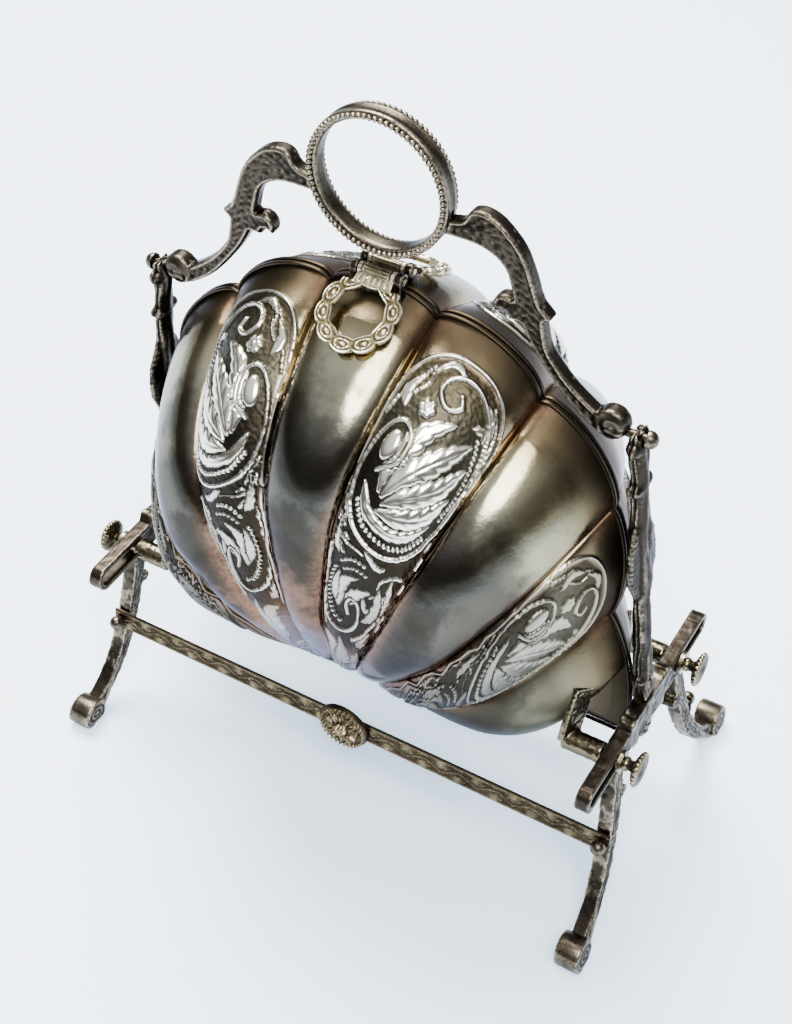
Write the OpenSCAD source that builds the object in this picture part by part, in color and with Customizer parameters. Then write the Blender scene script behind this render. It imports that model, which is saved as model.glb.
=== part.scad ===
// Folding biscuit box: two ribbed scallop shells that hang on thumb screws in the
// slotted bars of a branch-work stand, and fall open to the front and to the back.
// X runs along the box, -Y is the front, Z is up, and the feet stand on z = 0.

/* [End frames] */
// Distance from the middle of the box to the middle of a slotted bar
bar_x = 102.4; // [99:0.5:108]
// Thickness of the slotted bars, legs and uprights
bar_t = 5.5; // [4:0.25:7]
// Height of the slots and of the shells' turning axes
pin_z = 73.5; // [70:0.5:78]
// Distance of a turning axis from the parting plane with the box shut
pin_y = 25.5; // [24:0.25:28]
// Height of a slot
slot_h = 5.5; // [5:0.1:6.5]
// How far a turning axis slides out along its slot when a shell falls open
slot_travel = 19.2; // [18:0.2:21]
// Metal round a slot
slot_wall = 2.2; // [1.6:0.1:3]
// Height of the block in the middle of a slotted bar
hub_h = 14; // [12:0.5:18]
// Half length of that block
hub_half = 13; // [10:0.5:16]
// Lean of the legs and uprights, outwards at the feet
frame_lean = 6; // [4:0.5:8]
// Width of a leg at the bar
leg_w = 6.6; // [5:0.2:8]
// Where the legs reach the table, from the parting plane
foot_y = 59.5; // [52:0.5:66]
// Diameter of a rolled foot
foot_d = 12; // [9:0.5:15]
// Length of a rolled foot along the box
foot_len = 9; // [7:0.5:12]
// Depth of the flat worn under a rolled foot
foot_flat = 0.8; // [0.4:0.1:1.5]

/* [Uprights and handle] */
// Width of an upright
upright_w = 7.4; // [6:0.2:10]
// Width of the leaf on an upright
leaf_w = 18; // [14:0.5:22]
// Length of that leaf
leaf_len = 44; // [34:1:54]
// Height of the middle of the leaf
leaf_z = 146; // [136:1:156]
// Height of the scroll eyes of the handle arms
eye_z = 197.6; // [194:0.2:203]
// Diameter of a scroll eye
eye_d = 10.8; // [9:0.2:13]
// Thickness of the handle arms from front to back
arm_t = 5; // [4:0.5:7]
// Height of the middle of the handle ring
ring_z = 257; // [254:0.5:264]
// Outer diameter of the handle ring
ring_d = 49; // [44:0.5:54]
// Thickness of the handle ring's band
ring_band = 3; // [2:0.25:5]
// Width of that band from front to back
ring_w = 6; // [5:0.5:9]
// Diameter of the bead wire on each face of the ring
bead_d = 2.2; // [1.6:0.1:3]

/* [Stretchers] */
// Height of the stretchers
stretcher_z = 39; // [32:0.5:44]
// Height of a stretcher's bar
stretcher_h = 7.4; // [5:0.2:9]
// Thickness of that bar
stretcher_t = 3; // [2:0.25:4]
// Diameter of a rosette
rosette_d = 21; // [16:0.5:26]
// Thickness of a rosette
rosette_t = 3.4; // [2.5:0.1:5]
// Diameter of the round rivet heads at the ends of the stretchers
rivet_head_d = 5.6; // [4.5:0.1:7]

/* [Shells] */
// Height of the straight lower edge of the shells
rim_bottom_z = 57; // [55:0.25:59]
// Height of the deepest part of the shells
belly_z = 140; // [131:1:148]
// Depth of a shell in the valleys between its ribs
belly_depth = 57; // [50:0.5:60]
// Distance from the rim at which a shell is at its full depth
shoulder_w = 60; // [50:1:70]
// Depth of the plain band inside the rim
band_depth = 2; // [1:0.25:3]
// How much higher the bulge starts at the lower corners
corner_rise = 36; // [24:1:44]
// How far the ribs stand out of the valleys
rib_relief = 5.5; // [3:0.25:7]
// How far the chased ribs swell under their foliage
panel_rise = 0.9; // [0.5:0.05:1.2]
// Distance from the rim to the middle of that swelling
panel_mid = 28; // [24:0.5:32]
// Half length of the swelling, measured the same way
panel_half = 24; // [20:0.5:27]
// Height of the chased leaves, scrolls and borders
chase_rise = 0.6; // [0.4:0.05:0.8]
// Wall of the shells at the lower edge
shell_wall = 1.2; // [0.8:0.1:1.6]
// Half of the gap between the rims
rim_gap = 0.4; // [0.3:0.05:0.8]
// Width of the rim wire
wire_w = 0.8; // [0.5:0.1:1.2]
// Depth of the rim wire
wire_t = 1.6; // [1:0.1:2.4]

/* [Lugs and thumb screws] */
// Diameter of the screws' shanks
shank_d = 3.6; // [3:0.1:3.8]
// Outer diameter of a lug's barrel
barrel_d = 8; // [7:0.2:9]
// Distance from the middle of the box to a lug's strap on the shell
strap_x = 84.45; // [84.2:0.05:84.7]
// Thickness of a lug's strap
strap_t = 2.6; // [2:0.1:3.4]
// Width of a lug's strap
strap_w = 9; // [7:0.5:11]
// Length of a lug's strap above its barrel
strap_len = 21; // [16:0.5:24]
// Thickness of the collar outside the bar
collar_t = 1.4; // [1:0.1:2]
// Diameter of that collar
collar_d = 8.6; // [7.5:0.1:10]
// Diameter of a thumb screw's head
thumb_d = 13; // [10:0.5:15]
// Length of a thumb screw outside the collar
thumb_len = 7.4; // [6.5:0.1:10]

/* [Pull rings] */
// Outer diameter of a pull ring
pull_d = 28.6; // [26:0.2:31]
// Hole of a pull ring
pull_hole = 16.8; // [14:0.2:18]
// Thickness of a pull ring
pull_t = 2.4; // [1.8:0.1:3]
// Slope of a pull ring that lies on its shell, below level
pull_slope = 29; // [24:0.5:30]
// Height of the pull rings' hinge axes above the crest of the rim
pull_rise = 3.9; // [3.5:0.1:5.5]
// Distance of a pull ring's hinge axis from the parting plane
pull_y = 3; // [2.9:0.05:3.4]
// Outer diameter of a pull ring's hinge barrel
pull_barrel_d = 4.4; // [3.6:0.1:4.6]
// Length of that barrel
pull_barrel_len = 13.4; // [10:0.2:15]
// Thickness of the bracket's ears
ear_t = 2.2; // [1.6:0.1:3]
// Diameter of the hinge pins
hinge_pin_d = 1.8; // [1.4:0.1:2]

/* [Inner grilles] */
// Thickness of a grille
grille_t = 1; // [0.8:0.1:1.4]
// Distance from the parting plane to the middle of a grille
grille_y = 5.5; // [5:0.1:6.5]
// Space between the rim's outline and a grille's edge
grille_inset = 8.5; // [7:0.25:10]
// Outer diameter of a grille's hinge barrel
grille_barrel_d = 4.6; // [4.2:0.1:5]
// Length of that barrel
grille_barrel_len = 44; // [30:1:60]
// Length of each hinge knuckle on the shell
knuckle_len = 8; // [6:0.5:12]
// Diameter of a grille's knob
knob_d = 6; // [4.5:0.25:8]
// Height of that knob above the table
knob_z = 196; // [186:1:201]

/* [Hidden] */

// Fits: a pin that turns, a piece that slides, pieces that are fixed, and free air
turn_fit = 0.05;
slide_fit = 0.15;
fixed_fit = 0.02;
air = 0.3;
// Length that a cut runs past the face it opens
past = 1;
$fn = 64;

// Colours of the metals
tarnished = [0.36, 0.35, 0.33];
plated = [0.66, 0.63, 0.54];
gilt = [0.80, 0.70, 0.45];
brassy = [0.72, 0.60, 0.36];

// Rim outline of a shell as a fan about the middle of its lower edge:
// the angles of the valleys from upright, their radii, and the rise of the lobes between them
valley_angle = [7, 22, 38.5, 56.5, 90];
valley_r = [158.5, 150, 135, 103.8, 94.4];
lobe_rise = [6, 7.5, 6, 2.7, 1.2];
// Steps across a plain rib, across a chased one, and from the lower edge to the rim
rib_steps = 6;
chase_steps = 14;
level_steps = 36;
// Of these, the inside takes every other one, and all of those next to the rim
inner_chase_steps = chase_steps / 2;
rim_steps = 10;
// Share of the way to the rim at the lowest level, and how much closer the others lie towards the rim
first_level = 0.0125;
level_ease = 1.35;
// Ribs that are chased, counted from the middle one, and the share of their width that swells
chased_ribs = [1, 3];
panel_share = 0.8;
// Length of the drawing on each chased rib against its full length
chase_scale = [1, 0.86];
// Half width that the drawing is made for, and how far the shoulder lengthens it near the rim
chase_half = 17;
turn_in = 30;
turn_over = 15.7;
// Border of the drawing: its place and half width, the top and height of its arch, and its lower end
border_x = 14.6;
border_w = 2.4;
arch_top = 12;
arch_h = 18;
border_end = 150;
// Scroll rings: middle, half width, half length
scrolls = [[[0, 47], 13.2, 30], [[-3, 102], 9.4, 19]];
scroll_w = 2.8;
// Leaves: foot, tip and half width
leaves = [[[-5, 64], [-1, 28], 4.4], [[-4, 65], [8, 28], 4.4], [[-3, 67], [11, 42], 4.2],
    [[-9, 52], [-9, 38], 3.6], [[-4, 112], [-1, 90], 4.4]];
// Fullness of a rib's round and of the shoulder below the rim
rib_round = 0.6;
shoulder = 0.85;
// Flare where the shoulder meets the rim
flare = 2;
// Width of the step from the rim to the plain band, and where the bulge's lower edge starts to rise
band_step = 6;
corner_x = 55;
// Height that the shell's wall is measured towards
core_z = 136;
wall_scale = 1 - shell_wall / (core_z - rim_bottom_z);

// Straight mix of two values
function mix(a, b, t) = a + (b - a) * t;

// Point on a cubic curve with four control points
function cubic(p, t) = p[0] * pow(1 - t, 3) + 3 * p[1] * t * pow(1 - t, 2)
    + 3 * p[2] * t * t * (1 - t) + p[3] * pow(t, 3);

// Direction of that curve
function cubic_dir(p, t) = (p[1] - p[0]) * pow(1 - t, 2) + 2 * (p[2] - p[1]) * t * (1 - t)
    + (p[3] - p[2]) * t * t;

// Smooth line through points chosen by hand, with some steps to each stretch
function through(p, steps) = concat(
    [for (i = [0 : len(p) - 2], j = [0 : steps - 1])
        let (a = p[max(i - 1, 0)], b = p[i], c = p[i + 1], d = p[min(i + 2, len(p) - 1)], t = j / steps)
        0.5 * (2 * b + (c - a) * t + (2 * a - 5 * b + 4 * c - d) * t * t
            + (3 * b - a - 3 * c + d) * pow(t, 3))],
    [p[len(p) - 1]]);

// Rib that a fan angle falls in, and the place across that rib from -1 to 1
function rib_of(a) = len([for (v = valley_angle) if (v < abs(a) - 0.001) v]);
function across(a) = let (k = min(rib_of(a), 4))
    k == 0 ? a / valley_angle[0]
        : mix(-1, 1, (abs(a) - valley_angle[k - 1]) / (valley_angle[k] - valley_angle[k - 1]));
function round_rib(a) = pow(max(0, 1 - pow(across(a), 2)), rib_round);

// Radius of the rim at a fan angle
function rim_r(a) = let (k = min(rib_of(a), 4))
    (k == 0 ? valley_r[0] : mix(valley_r[k - 1], valley_r[k], (across(a) + 1) / 2))
    + lobe_rise[k] * round_rib(a);

// Share of the bulge's depth, by the distance from the rim and by the height
function shoulder_share(e) = pow(1 - pow(1 - min(1, e / shoulder_w), 2), shoulder) * e / (e + flare);
function bulge_bottom(x) =
    rim_bottom_z + corner_rise * pow(max(0, (abs(x) - corner_x) / (valley_r[4] - corner_x)), 2);
function under_share(x, z) = z > belly_z ? 1
    : sqrt(max(0, 1 - pow((belly_z - z) / (belly_z - bulge_bottom(x)), 2)));
function blend_min(a, b) = a < 0.001 || b < 0.001 ? 0 : pow(pow(a, -4) + pow(b, -4) - 1, -0.25);
function share(s, a) = let (r = rim_r(a))
    blend_min(shoulder_share((1 - s) * r), under_share(s * r * sin(a), rim_bottom_z + s * r * cos(a)));
// Drawing on the chased ribs, by the distance from their middle and along them from the rim
function ridge(d, w) = w <= 0 ? 0 : max(0, 1 - pow(d / w, 2));
function border_rise(x, t) = let (arch = arch_top + arch_h * (1 - sqrt(max(0, 1 - pow(x / border_x, 2)))),
    fade = min(1, max(0, (border_end - t) / arch_h)))
    max(t > arch_top + arch_h ? fade * ridge(abs(x) - border_x, border_w) : 0,
        abs(x) < border_x ? ridge(t - arch, border_w) : 0);
function scroll_rise(x, t, g) = let (far = norm([(x - g[0][0]) / g[1], (t - g[0][1]) / g[2]]))
    ridge((far - 1) * g[1], scroll_w);
function leaf_rise(x, t, g) = let (d = g[1] - g[0], p = [x, t] - g[0], u = p * d / (d * d))
    u <= 0 || u >= 1 ? 0 : ridge(cross(d, p) / norm(d), g[2] * pow(sin(180 * pow(u, 0.75)), 0.75));
function drawing(x, t) = max(concat([border_rise(x, t)],
    [for (g = scrolls) scroll_rise(x, t, g)], [for (g = leaves) leaf_rise(x, t, g)]));
// Swelling of a rib that is chased, and the height of its drawing
function panel(s, a) = len(search(rib_of(a), chased_ribs)) == 0 ? 0
    : panel_rise * max(0, 1 - pow(across(a) / panel_share, 2)
        - pow(((1 - s) * rim_r(a) - panel_mid) / panel_half, 2));
function chased(s, a) = let (found = search(rib_of(a), chased_ribs), e = (1 - s) * rim_r(a))
    len(found) == 0 ? 0 : chase_rise * drawing(across(a) * chase_half,
        (e + turn_in * (1 - exp(-e / turn_over))) / chase_scale[found[0]]);
function depth(s, a) = let (r = rim_r(a), f = share(s, a), edge = min((1 - s) * r, s * r * cos(a)))
    band_depth * min(1, edge / band_step) + (belly_depth - band_depth) * f
    + rib_relief * round_rib(a) * sqrt(f) * min(1, 2.5 * s) + panel(s, a);

// Point on the outside of the front shell before the chasing, and after it
function plain_point(s, a) =
    [s * rim_r(a) * sin(a), -rim_gap - depth(s, a), rim_bottom_z + s * rim_r(a) * cos(a)];
function shell_point(s, a) = let (h = chased(s, a), p = plain_point(s, a))
    h == 0 ? p : let (up = plain_point(s - 0.001, a) - p, over = plain_point(s, a + sign(a) * 0.01) - p,
        n = cross(up, over) * sign(a)) p + n * h / norm(n);
// The same point moved in by the wall
function wall_point(p) =
    [p[0] * wall_scale, min(-rim_gap, p[1] + shell_wall), mix(core_z, p[2], wall_scale)];

// Fan angles with some steps across a chased rib, closer together where the last rib turns under
function half_fan(steps) = concat(
    [for (j = [0 : rib_steps / 2 - 1]) valley_angle[0] * j * 2 / rib_steps],
    [for (k = [1 : 4]) let (n = len(search(k, chased_ribs)) > 0 ? steps : rib_steps)
        for (j = [0 : n - 1]) let (t = j / n)
            mix(valley_angle[k - 1], valley_angle[k], k == 4 ? 1 - pow(1 - t, 1.7) : t)],
    [90]);
function both_sides(list) = concat([for (i = [len(list) - 1 : -1 : 1]) -list[i]], list);
fan = both_sides(half_fan(chase_steps));
inner_fan = both_sides(half_fan(inner_chase_steps));
levels = concat([first_level], [for (j = [1 : level_steps]) 1 - pow(1 - j / level_steps, level_ease)]);
inner_levels = [for (j = [0 : level_steps])
    if (j == 0 || j % 2 == 1 || j > level_steps - rim_steps) levels[j]];

// Crest of the rim, and the pull rings' hinge axes over it
rim_top_z = rim_bottom_z + rim_r(0);
pull_z = rim_top_z + pull_rise;

// Outline of the rim as seen from the front, moved out by grow
function rim_outline(grow) = [for (a = fan) let (r = rim_r(a), c = [0, core_z],
    p = [r * sin(a), rim_bottom_z + r * cos(a)]) p + (p - c) * grow / norm(p - c)];

// Leg line from the bar to the foot, in the frame's own leaning plane
slot_r = slot_h / 2;
loop_r = slot_r + slot_wall;
leg_line = [[pin_y - 1, pin_z - slot_r - slot_wall / 2], [pin_y + 2, 48], [pin_y + 9.5, foot_d],
    [foot_y, foot_d / 2 - 1]];
// Height of a foot's middle in that plane, so that the flat comes out on the table
foot_z = pin_z - (pin_z - foot_d / 2 + foot_flat) / cos(frame_lean);
leg_steps = 20;
leg_toe_w = leg_w * 0.8;

// Places along the box
bar_in = bar_x - bar_t / 2;
bar_out = bar_x + bar_t / 2;
bush_r = slot_r - slide_fit;
barrel_out = bar_in - 2 * air;
collar_out = bar_out + air + collar_t;
function lean_x(z) = bar_x + (pin_z - z) * tan(frame_lean);
upright_base = pin_z + hub_h / 2;
eye_x = lean_x(eye_z) - bar_t / 2 / cos(frame_lean) - eye_d / 2 - air / 2;
ring_r = ring_d / 2;

// Place of the stretchers: against the front edge of the legs
leg_share = [for (i = [0 : leg_steps]) if (cubic(leg_line, i / leg_steps)[1] >= stretcher_z) i / leg_steps];
leg_at = cubic(leg_line, leg_share[len(leg_share) - 1]);
stretcher_y = leg_at[0] + leg_w / 2 + stretcher_t / 2 + air;
stretcher_half = lean_x(stretcher_z) + bar_t / 2;

// Mirrors a right-hand piece to the left, or a front piece to the back
module side(s) {
    mirror([s < 0 ? 1 : 0, 0, 0]) children();
}
module half(s) {
    mirror([0, s < 0 ? 1 : 0, 0]) children();
}

// A cylinder along X between two places
module rod_x(x0, x1, d) {
    translate([x0, 0, 0]) rotate([0, 90, 0]) cylinder(d = d, h = x1 - x0);
}

// Lays a drawing of (y, z) points upright, t thick about x = 0
module upright_sheet(t) {
    translate([-t / 2, 0, 0]) rotate([90, 0, 90]) linear_extrude(t) children();
}

// Lays a drawing of (x, z) points upright, t thick about y = 0
module front_sheet(t) {
    translate([0, t / 2, 0]) rotate([90, 0, 0]) linear_extrude(t) children();
}

// Leans what stands on the bar's axis
module leaning() {
    translate([bar_x, 0, pin_z]) rotate([0, -frame_lean, 0]) translate([0, 0, -pin_z]) children();
}

// One leg with its rolled foot, drawn in the leaning plane
module leg() {
    edge = [for (i = [0 : leg_steps]) let (t = i / leg_steps, d = cubic_dir(leg_line, t),
        n = [-d[1], d[0]] / norm(d), w = mix(leg_w, leg_toe_w, t) / 2)
        [cubic(leg_line, t) + n * w, cubic(leg_line, t) - n * w]];
    upright_sheet(bar_t) {
        polygon(concat([for (e = edge) e[0]], [for (i = [leg_steps : -1 : 0]) edge[i][1]]));
        translate(cubic(leg_line, 0.22) - [leg_w / 2 + 1.4, 0]) circle(d = 4.4);
    }
    translate([0, foot_y + 1.5, foot_z]) rod_x(-foot_len / 2, foot_len / 2, foot_d);
}

// The slotted bar with its middle block, cast in one with the two legs
module leg_frame() {
    color(tarnished) difference() {
        union() {
            translate([bar_x, 0, 0]) upright_sheet(bar_t) {
                for (s = [-1, 1]) {
                    translate([s * (pin_y + slot_travel), pin_z]) circle(r = loop_r);
                    translate([s * (pin_y + slot_travel) / 2, pin_z])
                        square([pin_y + slot_travel, 2 * loop_r], center = true);
                    translate([s * (hub_half + 1), pin_z + loop_r]) circle(d = 5.6);
                }
                translate([0, pin_z]) square([2 * hub_half, hub_h], center = true);
            }
            for (s = [-1, 1]) half(s) leaning() leg();
        }
        for (s = [-1, 1]) {
            translate([bar_x, s * (pin_y + slot_travel / 2), pin_z]) {
                cube([2 * bar_t, slot_travel, slot_h], center = true);
                for (e = [-1, 1]) translate([0, e * slot_travel / 2, 0]) rod_x(-bar_t, bar_t, slot_h);
            }
            hull() for (y = [pin_y, pin_y + slot_travel]) translate([0, s * y, pin_z])
                rod_x(bar_out, bar_out + bar_t, collar_d + 2 * air);
            half(s) {
                stretcher_holes();
                stretcher_bar(fixed_fit);
            }
        }
        translate([bar_x, 0, pin_z - hub_h]) cylinder(d = finial_d + 2 * fixed_fit, h = 2 * hub_h);
        translate([bar_x - 2 * foot_len, -2 * foot_y, -foot_d]) cube([6 * foot_len, 4 * foot_y, foot_d]);
    }
}

// Screw that holds an upright on its bar, with a tapered finial below
finial_d = 2.4;
finial_len = 9;
finial_grip = 8;
finial_head_d = 7;
module finial_screw() {
    color(tarnished) translate([bar_x, 0, pin_z - hub_h / 2]) {
        cylinder(d = finial_d, h = hub_h + finial_grip);
        rotate_extrude() polygon([[0, 0], [finial_head_d / 2, 0], [finial_head_d / 2, -1.6],
            [2.4, -3.4], [2.9, -5.2], [1.6, -finial_len + 1], [0, -finial_len]]);
    }
}

// Upright with its leaf, knots and beads, leaning over the shell
upright_top = eye_z + 1;
bead_rows = 5;
module upright() {
    color(tarnished) difference() {
        leaning() upright_sheet(bar_t) {
            translate([-upright_w / 2, upright_base + 0.6])
                square([upright_w, upright_top - upright_base - 1.4]);
            translate([0, leaf_z]) leaf(leaf_len, leaf_w);
            for (s = [-1, 1]) {
                translate([s * upright_w / 2, upright_top - 6]) circle(d = 5);
                translate([s * upright_w / 2, upright_top - 22]) circle(d = 4.4);
                translate([s * upright_w / 2, upright_base + 10]) circle(d = 4.6);
                for (i = [0 : bead_rows - 1])
                    translate([s * (leaf_w / 2 - 0.4 * abs(i - 2)), leaf_z + 3.4 * (i - 2)]) circle(d = 2.6);
            }
        }
        translate([0, 0, handle_rivet_z]) rod_x(eye_x, bar_x + bar_t, handle_rivet_d + 2 * fixed_fit);
        translate([bar_x, 0, pin_z])
            cylinder(d = finial_d + 2 * fixed_fit, h = hub_h / 2 + finial_grip + air);
        translate([bar_x - leaf_w, -leaf_w, 0]) cube([2 * leaf_w, 2 * leaf_w, upright_base]);
    }
}

// A pointed leaf, as the space that two circles share
module leaf(len, wide) {
    r = (len * len + wide * wide) / (4 * wide);
    intersection() {
        translate([r - wide / 2, 0]) circle(r = r, $fn = 128);
        translate([wide / 2 - r, 0]) circle(r = r, $fn = 128);
    }
}

// Handle arm from the scroll eye to the ring, drawn from the front. Its points are hundredths of the way
// from the ring's edge out to the eye, and from the eye's height up to the ring's
arm_outer = [[-4.4, 92.3], [7.3, 94.6], [12.6, 101.7], [21.4, 103], [31.3, 98.7], [42.6, 87.5],
    [49.3, 73.4], [53.4, 60.8], [56.4, 50.7], [59.6, 35.4], [64.6, 27.3], [73.2, 17.8], [80.6, 11.8],
    [88.4, 6.4], [93.7, 3.4]];
arm_inner = [[97.1, -8.4], [87.7, -4.7], [72.7, 6.4], [59.1, 21.5], [49.7, 34], [42.6, 46.8],
    [38.7, 57.9], [34.8, 71.4], [29.2, 78.5], [19.6, 82.8], [8, 83.8], [-4.4, 83.5]];
arm_spur = [[50.4, 68], [55, 58.6], [61.5, 52.7], [56.4, 48.8], [52.2, 49.5]];
arm_steps = 4;
// Curl on the inside of an arm: its middle, its diameter and the hole in it
curl_at = [33.8, 51.2];
curl_d = 8.4;
curl_hole_d = 4.4;
function arm_point(p) = [mix(ring_r, eye_x, p[0] / 100), mix(eye_z, ring_z, p[1] / 100)];
function arm_points(list) = [for (p = list) arm_point(p)];
module handle_arm() {
    color(tarnished) difference() {
        front_sheet(arm_t) {
            polygon(concat(
                through(arm_points(arm_outer), arm_steps), through(arm_points(arm_inner), arm_steps)));
            polygon(arm_points(arm_spur));
            translate(arm_point(curl_at)) {
                difference() {
                    circle(d = curl_d);
                    translate([-0.12, -0.4] * curl_d) circle(d = curl_hole_d);
                }
                translate([curl_d / 4, -0.45 * curl_d]) square([curl_d / 2, 0.88 * curl_d]);
            }
            translate([eye_x, eye_z]) circle(d = eye_d);
        }
        translate([0, 0, ring_z]) rotate([90, 0, 0])
            cylinder(r = ring_r + fixed_fit, h = 2 * arm_t, center = true, $fn = 128);
        translate([0, 0, handle_rivet_z])
            rod_x(eye_x - handle_rivet_grip, bar_x, handle_rivet_d + 2 * fixed_fit);
    }
}

// Rivets through the tops of the uprights into the scroll eyes
handle_rivet_d = 3;
handle_rivet_grip = 3;
handle_rivet_head = 6;
handle_rivet_z = eye_z - 2.4;
module handle_rivet() {
    out = lean_x(handle_rivet_z) + bar_t / 2 / cos(frame_lean) + air;
    translate([0, 0, handle_rivet_z]) {
        rod_x(eye_x - handle_rivet_grip + air, out + 1, handle_rivet_d);
        difference() {
            translate([out + 0.4, 0, 0]) sphere(d = handle_rivet_head);
            translate([out - handle_rivet_head, 0, 0]) cube(2 * handle_rivet_head, center = true);
        }
    }
}
module handle_rivets() {
    color(tarnished) for (s = [-1, 1]) side(s) handle_rivet();
}

// Round handle ring and the bead wire on one of its faces
module handle_ring() {
    color(tarnished) translate([0, 0, ring_z]) rotate([90, 0, 0]) rotate_extrude($fn = 128)
        translate([ring_r - ring_band, -ring_w / 2]) square([ring_band, ring_w]);
}
module handle_ring_bead() {
    color(tarnished) translate([0, -ring_w / 2 - bead_d / 2 - fixed_fit, ring_z]) rotate([90, 0, 0])
        rotate_extrude($fn = 128) translate([ring_r - ring_band / 2, 0]) circle(d = bead_d, $fn = 24);
}

// Stretcher between the front legs, with holes for its rivets and for the rosette's stud
rivet_d = 2.4;
rivet_grip = 4;
stud_d = 3;
module stretcher_holes() {
    for (s = [-1, 1]) side(s) translate([lean_x(stretcher_z), -stretcher_y, stretcher_z])
        rotate([-90, 0, 0]) translate([0, 0, -stretcher_t])
        cylinder(d = rivet_d + 2 * fixed_fit, h = 2 * stretcher_t + rivet_grip);
}
module stretcher_bar(grow) {
    translate([0, -stretcher_y, stretcher_z])
        cube([2 * stretcher_half, stretcher_t, stretcher_h] + 2 * grow * [1, 1, 1], center = true);
}
module stretcher() {
    color(tarnished) difference() {
        stretcher_bar(0);
        stretcher_holes();
        translate([0, -stretcher_y, stretcher_z]) rotate([90, 0, 0])
            cylinder(d = stud_d + 2 * fixed_fit, h = 2 * stretcher_t, center = true);
    }
}

// Ball-headed rivets through the stretchers' ends into the legs
module stretcher_rivet() {
    translate([lean_x(stretcher_z), -stretcher_y - stretcher_t / 2 - fixed_fit, stretcher_z]) {
        rotate([-90, 0, 0]) cylinder(d = rivet_d, h = stretcher_t + rivet_grip);
        difference() {
            translate([0, -1.2, 0]) sphere(d = rivet_head_d);
            translate([0, rivet_head_d, 0]) cube(2 * rivet_head_d, center = true);
        }
    }
}
module stretcher_rivets() {
    color(tarnished) for (a = [-1, 1], b = [-1, 1]) side(a) half(b) stretcher_rivet();
}

// Rosette in the middle of a stretcher, turned about its stud
module rosette() {
    edge = rosette_d / 2;
    dish = rosette_t * 0.7;
    color(tarnished) translate([0, -stretcher_y - stretcher_t / 2 - fixed_fit, stretcher_z])
        rotate([90, 0, 0]) {
            rotate_extrude() polygon([[0, 0], [edge, 0], [edge, dish], [edge - 1, rosette_t],
                [edge - 2.4, rosette_t], [edge - 3, dish], [3.4, dish], [2.6, rosette_t + 0.6],
                [0, rosette_t + 1]]);
            translate([0, 0, -stretcher_t]) cylinder(d = stud_d, h = stretcher_t);
        }
}

// Point of a skin, with its points held column by column after the one in the middle of the lower edge
function skin_at(i, j, n) = j == 0 ? 0 : 1 + i * n + j - 1;
function skin_points(fan, levels) = concat([[0, -rim_gap, rim_bottom_z]],
    [for (a = fan, s = levels) shell_point(s, a)]);
// Faces of a skin, split the way that its chased heights run
function skin_faces(m, n, h) = concat(
    [for (i = [0 : m - 2]) [0, skin_at(i, 1, n), skin_at(i + 1, 1, n)]],
    [for (i = [0 : m - 2], j = [1 : n - 1])
        let (a = skin_at(i, j, n), b = skin_at(i, j + 1, n),
            c = skin_at(i + 1, j + 1, n), d = skin_at(i + 1, j, n))
        for (f = abs(h[a] - h[c]) <= abs(h[b] - h[d]) ? [[a, b, c], [a, c, d]] : [[a, b, d], [b, c, d]]) f]);
// Points round the edge of a skin, and how far round each of them lies
function skin_edge(m, n) = concat([for (j = [0 : n]) skin_at(0, j, n)],
    [for (i = [1 : m - 1]) skin_at(i, n, n)], [for (j = [n - 1 : -1 : 1]) skin_at(m - 1, j, n)]);
function edge_turn(fan, levels) = concat([-91], [for (s = levels) s - 91],
    [for (i = [1 : len(fan) - 1]) fan[i]], [for (j = [len(levels) - 2 : -1 : 0]) 91 - levels[j]]);

// Ribbed scallop shell: a chased outer skin and a coarser inner one, closed along the edge
module shell() {
    n = len(levels);
    inner_n = len(inner_levels);
    count = 1 + len(fan) * n;
    inner_points = [for (p = skin_points(inner_fan, inner_levels)) wall_point(p)];
    outside = skin_faces(len(fan), n, concat([0], [for (a = fan, s = levels) chased(s, a)]));
    inside = [for (f = skin_faces(len(inner_fan), inner_n, [for (p = inner_points) 0]))
        [f[0] + count, f[2] + count, f[1] + count]];
    outer_edge = skin_edge(len(fan), n);
    inner_edge = skin_edge(len(inner_fan), inner_n);
    outer_turn = concat(edge_turn(fan, levels), [91]);
    inner_turn = concat(edge_turn(inner_fan, inner_levels), [91]);
    lip = [for (i = [0 : len(outer_edge) - 1])
        let (a = outer_edge[i], b = outer_edge[(i + 1) % len(outer_edge)],
            k = len([for (t = inner_turn) if (t < outer_turn[i] + 0.0001) t]) - 1,
            c = inner_edge[k] + count, d = inner_edge[(k + 1) % len(inner_edge)] + count)
        for (f = inner_turn[k + 1] < outer_turn[i + 1] + 0.0001 ? [[b, a, c], [b, c, d]] : [[b, a, c]]) f];
    color(plated) polyhedron(points = concat(skin_points(fan, levels), inner_points),
        faces = concat(lip, outside, inside), convexity = 8);
}

// Wire soldered round the rim
module rim_wire() {
    color(plated) translate([0, -rim_gap - wire_t / 2, 0]) front_sheet(wire_t) difference() {
        polygon(rim_outline(wire_w));
        polygon(rim_outline(fixed_fit));
    }
}

// Lug on the side of a shell: a barrel on the turning axis and a strap laid up the shell's side
strap_lean = 7;
strap_turn = 20;
strap_rise = 26;
module lug() {
    color(brassy) translate([0, -pin_y, pin_z]) difference() {
        union() {
            rod_x(strap_x, barrel_out, barrel_d);
            translate([strap_x, 0, 0])
                rotate([0, -strap_lean, 0]) rotate([0, 0, -strap_turn]) rotate([-strap_rise, 0, 0])
                translate([0, -strap_w / 2, 0]) cube([strap_t, strap_w, strap_len]);
        }
        rod_x(strap_x - 2 * strap_t, barrel_out + past, shank_d + 2 * turn_fit);
    }
}

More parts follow.
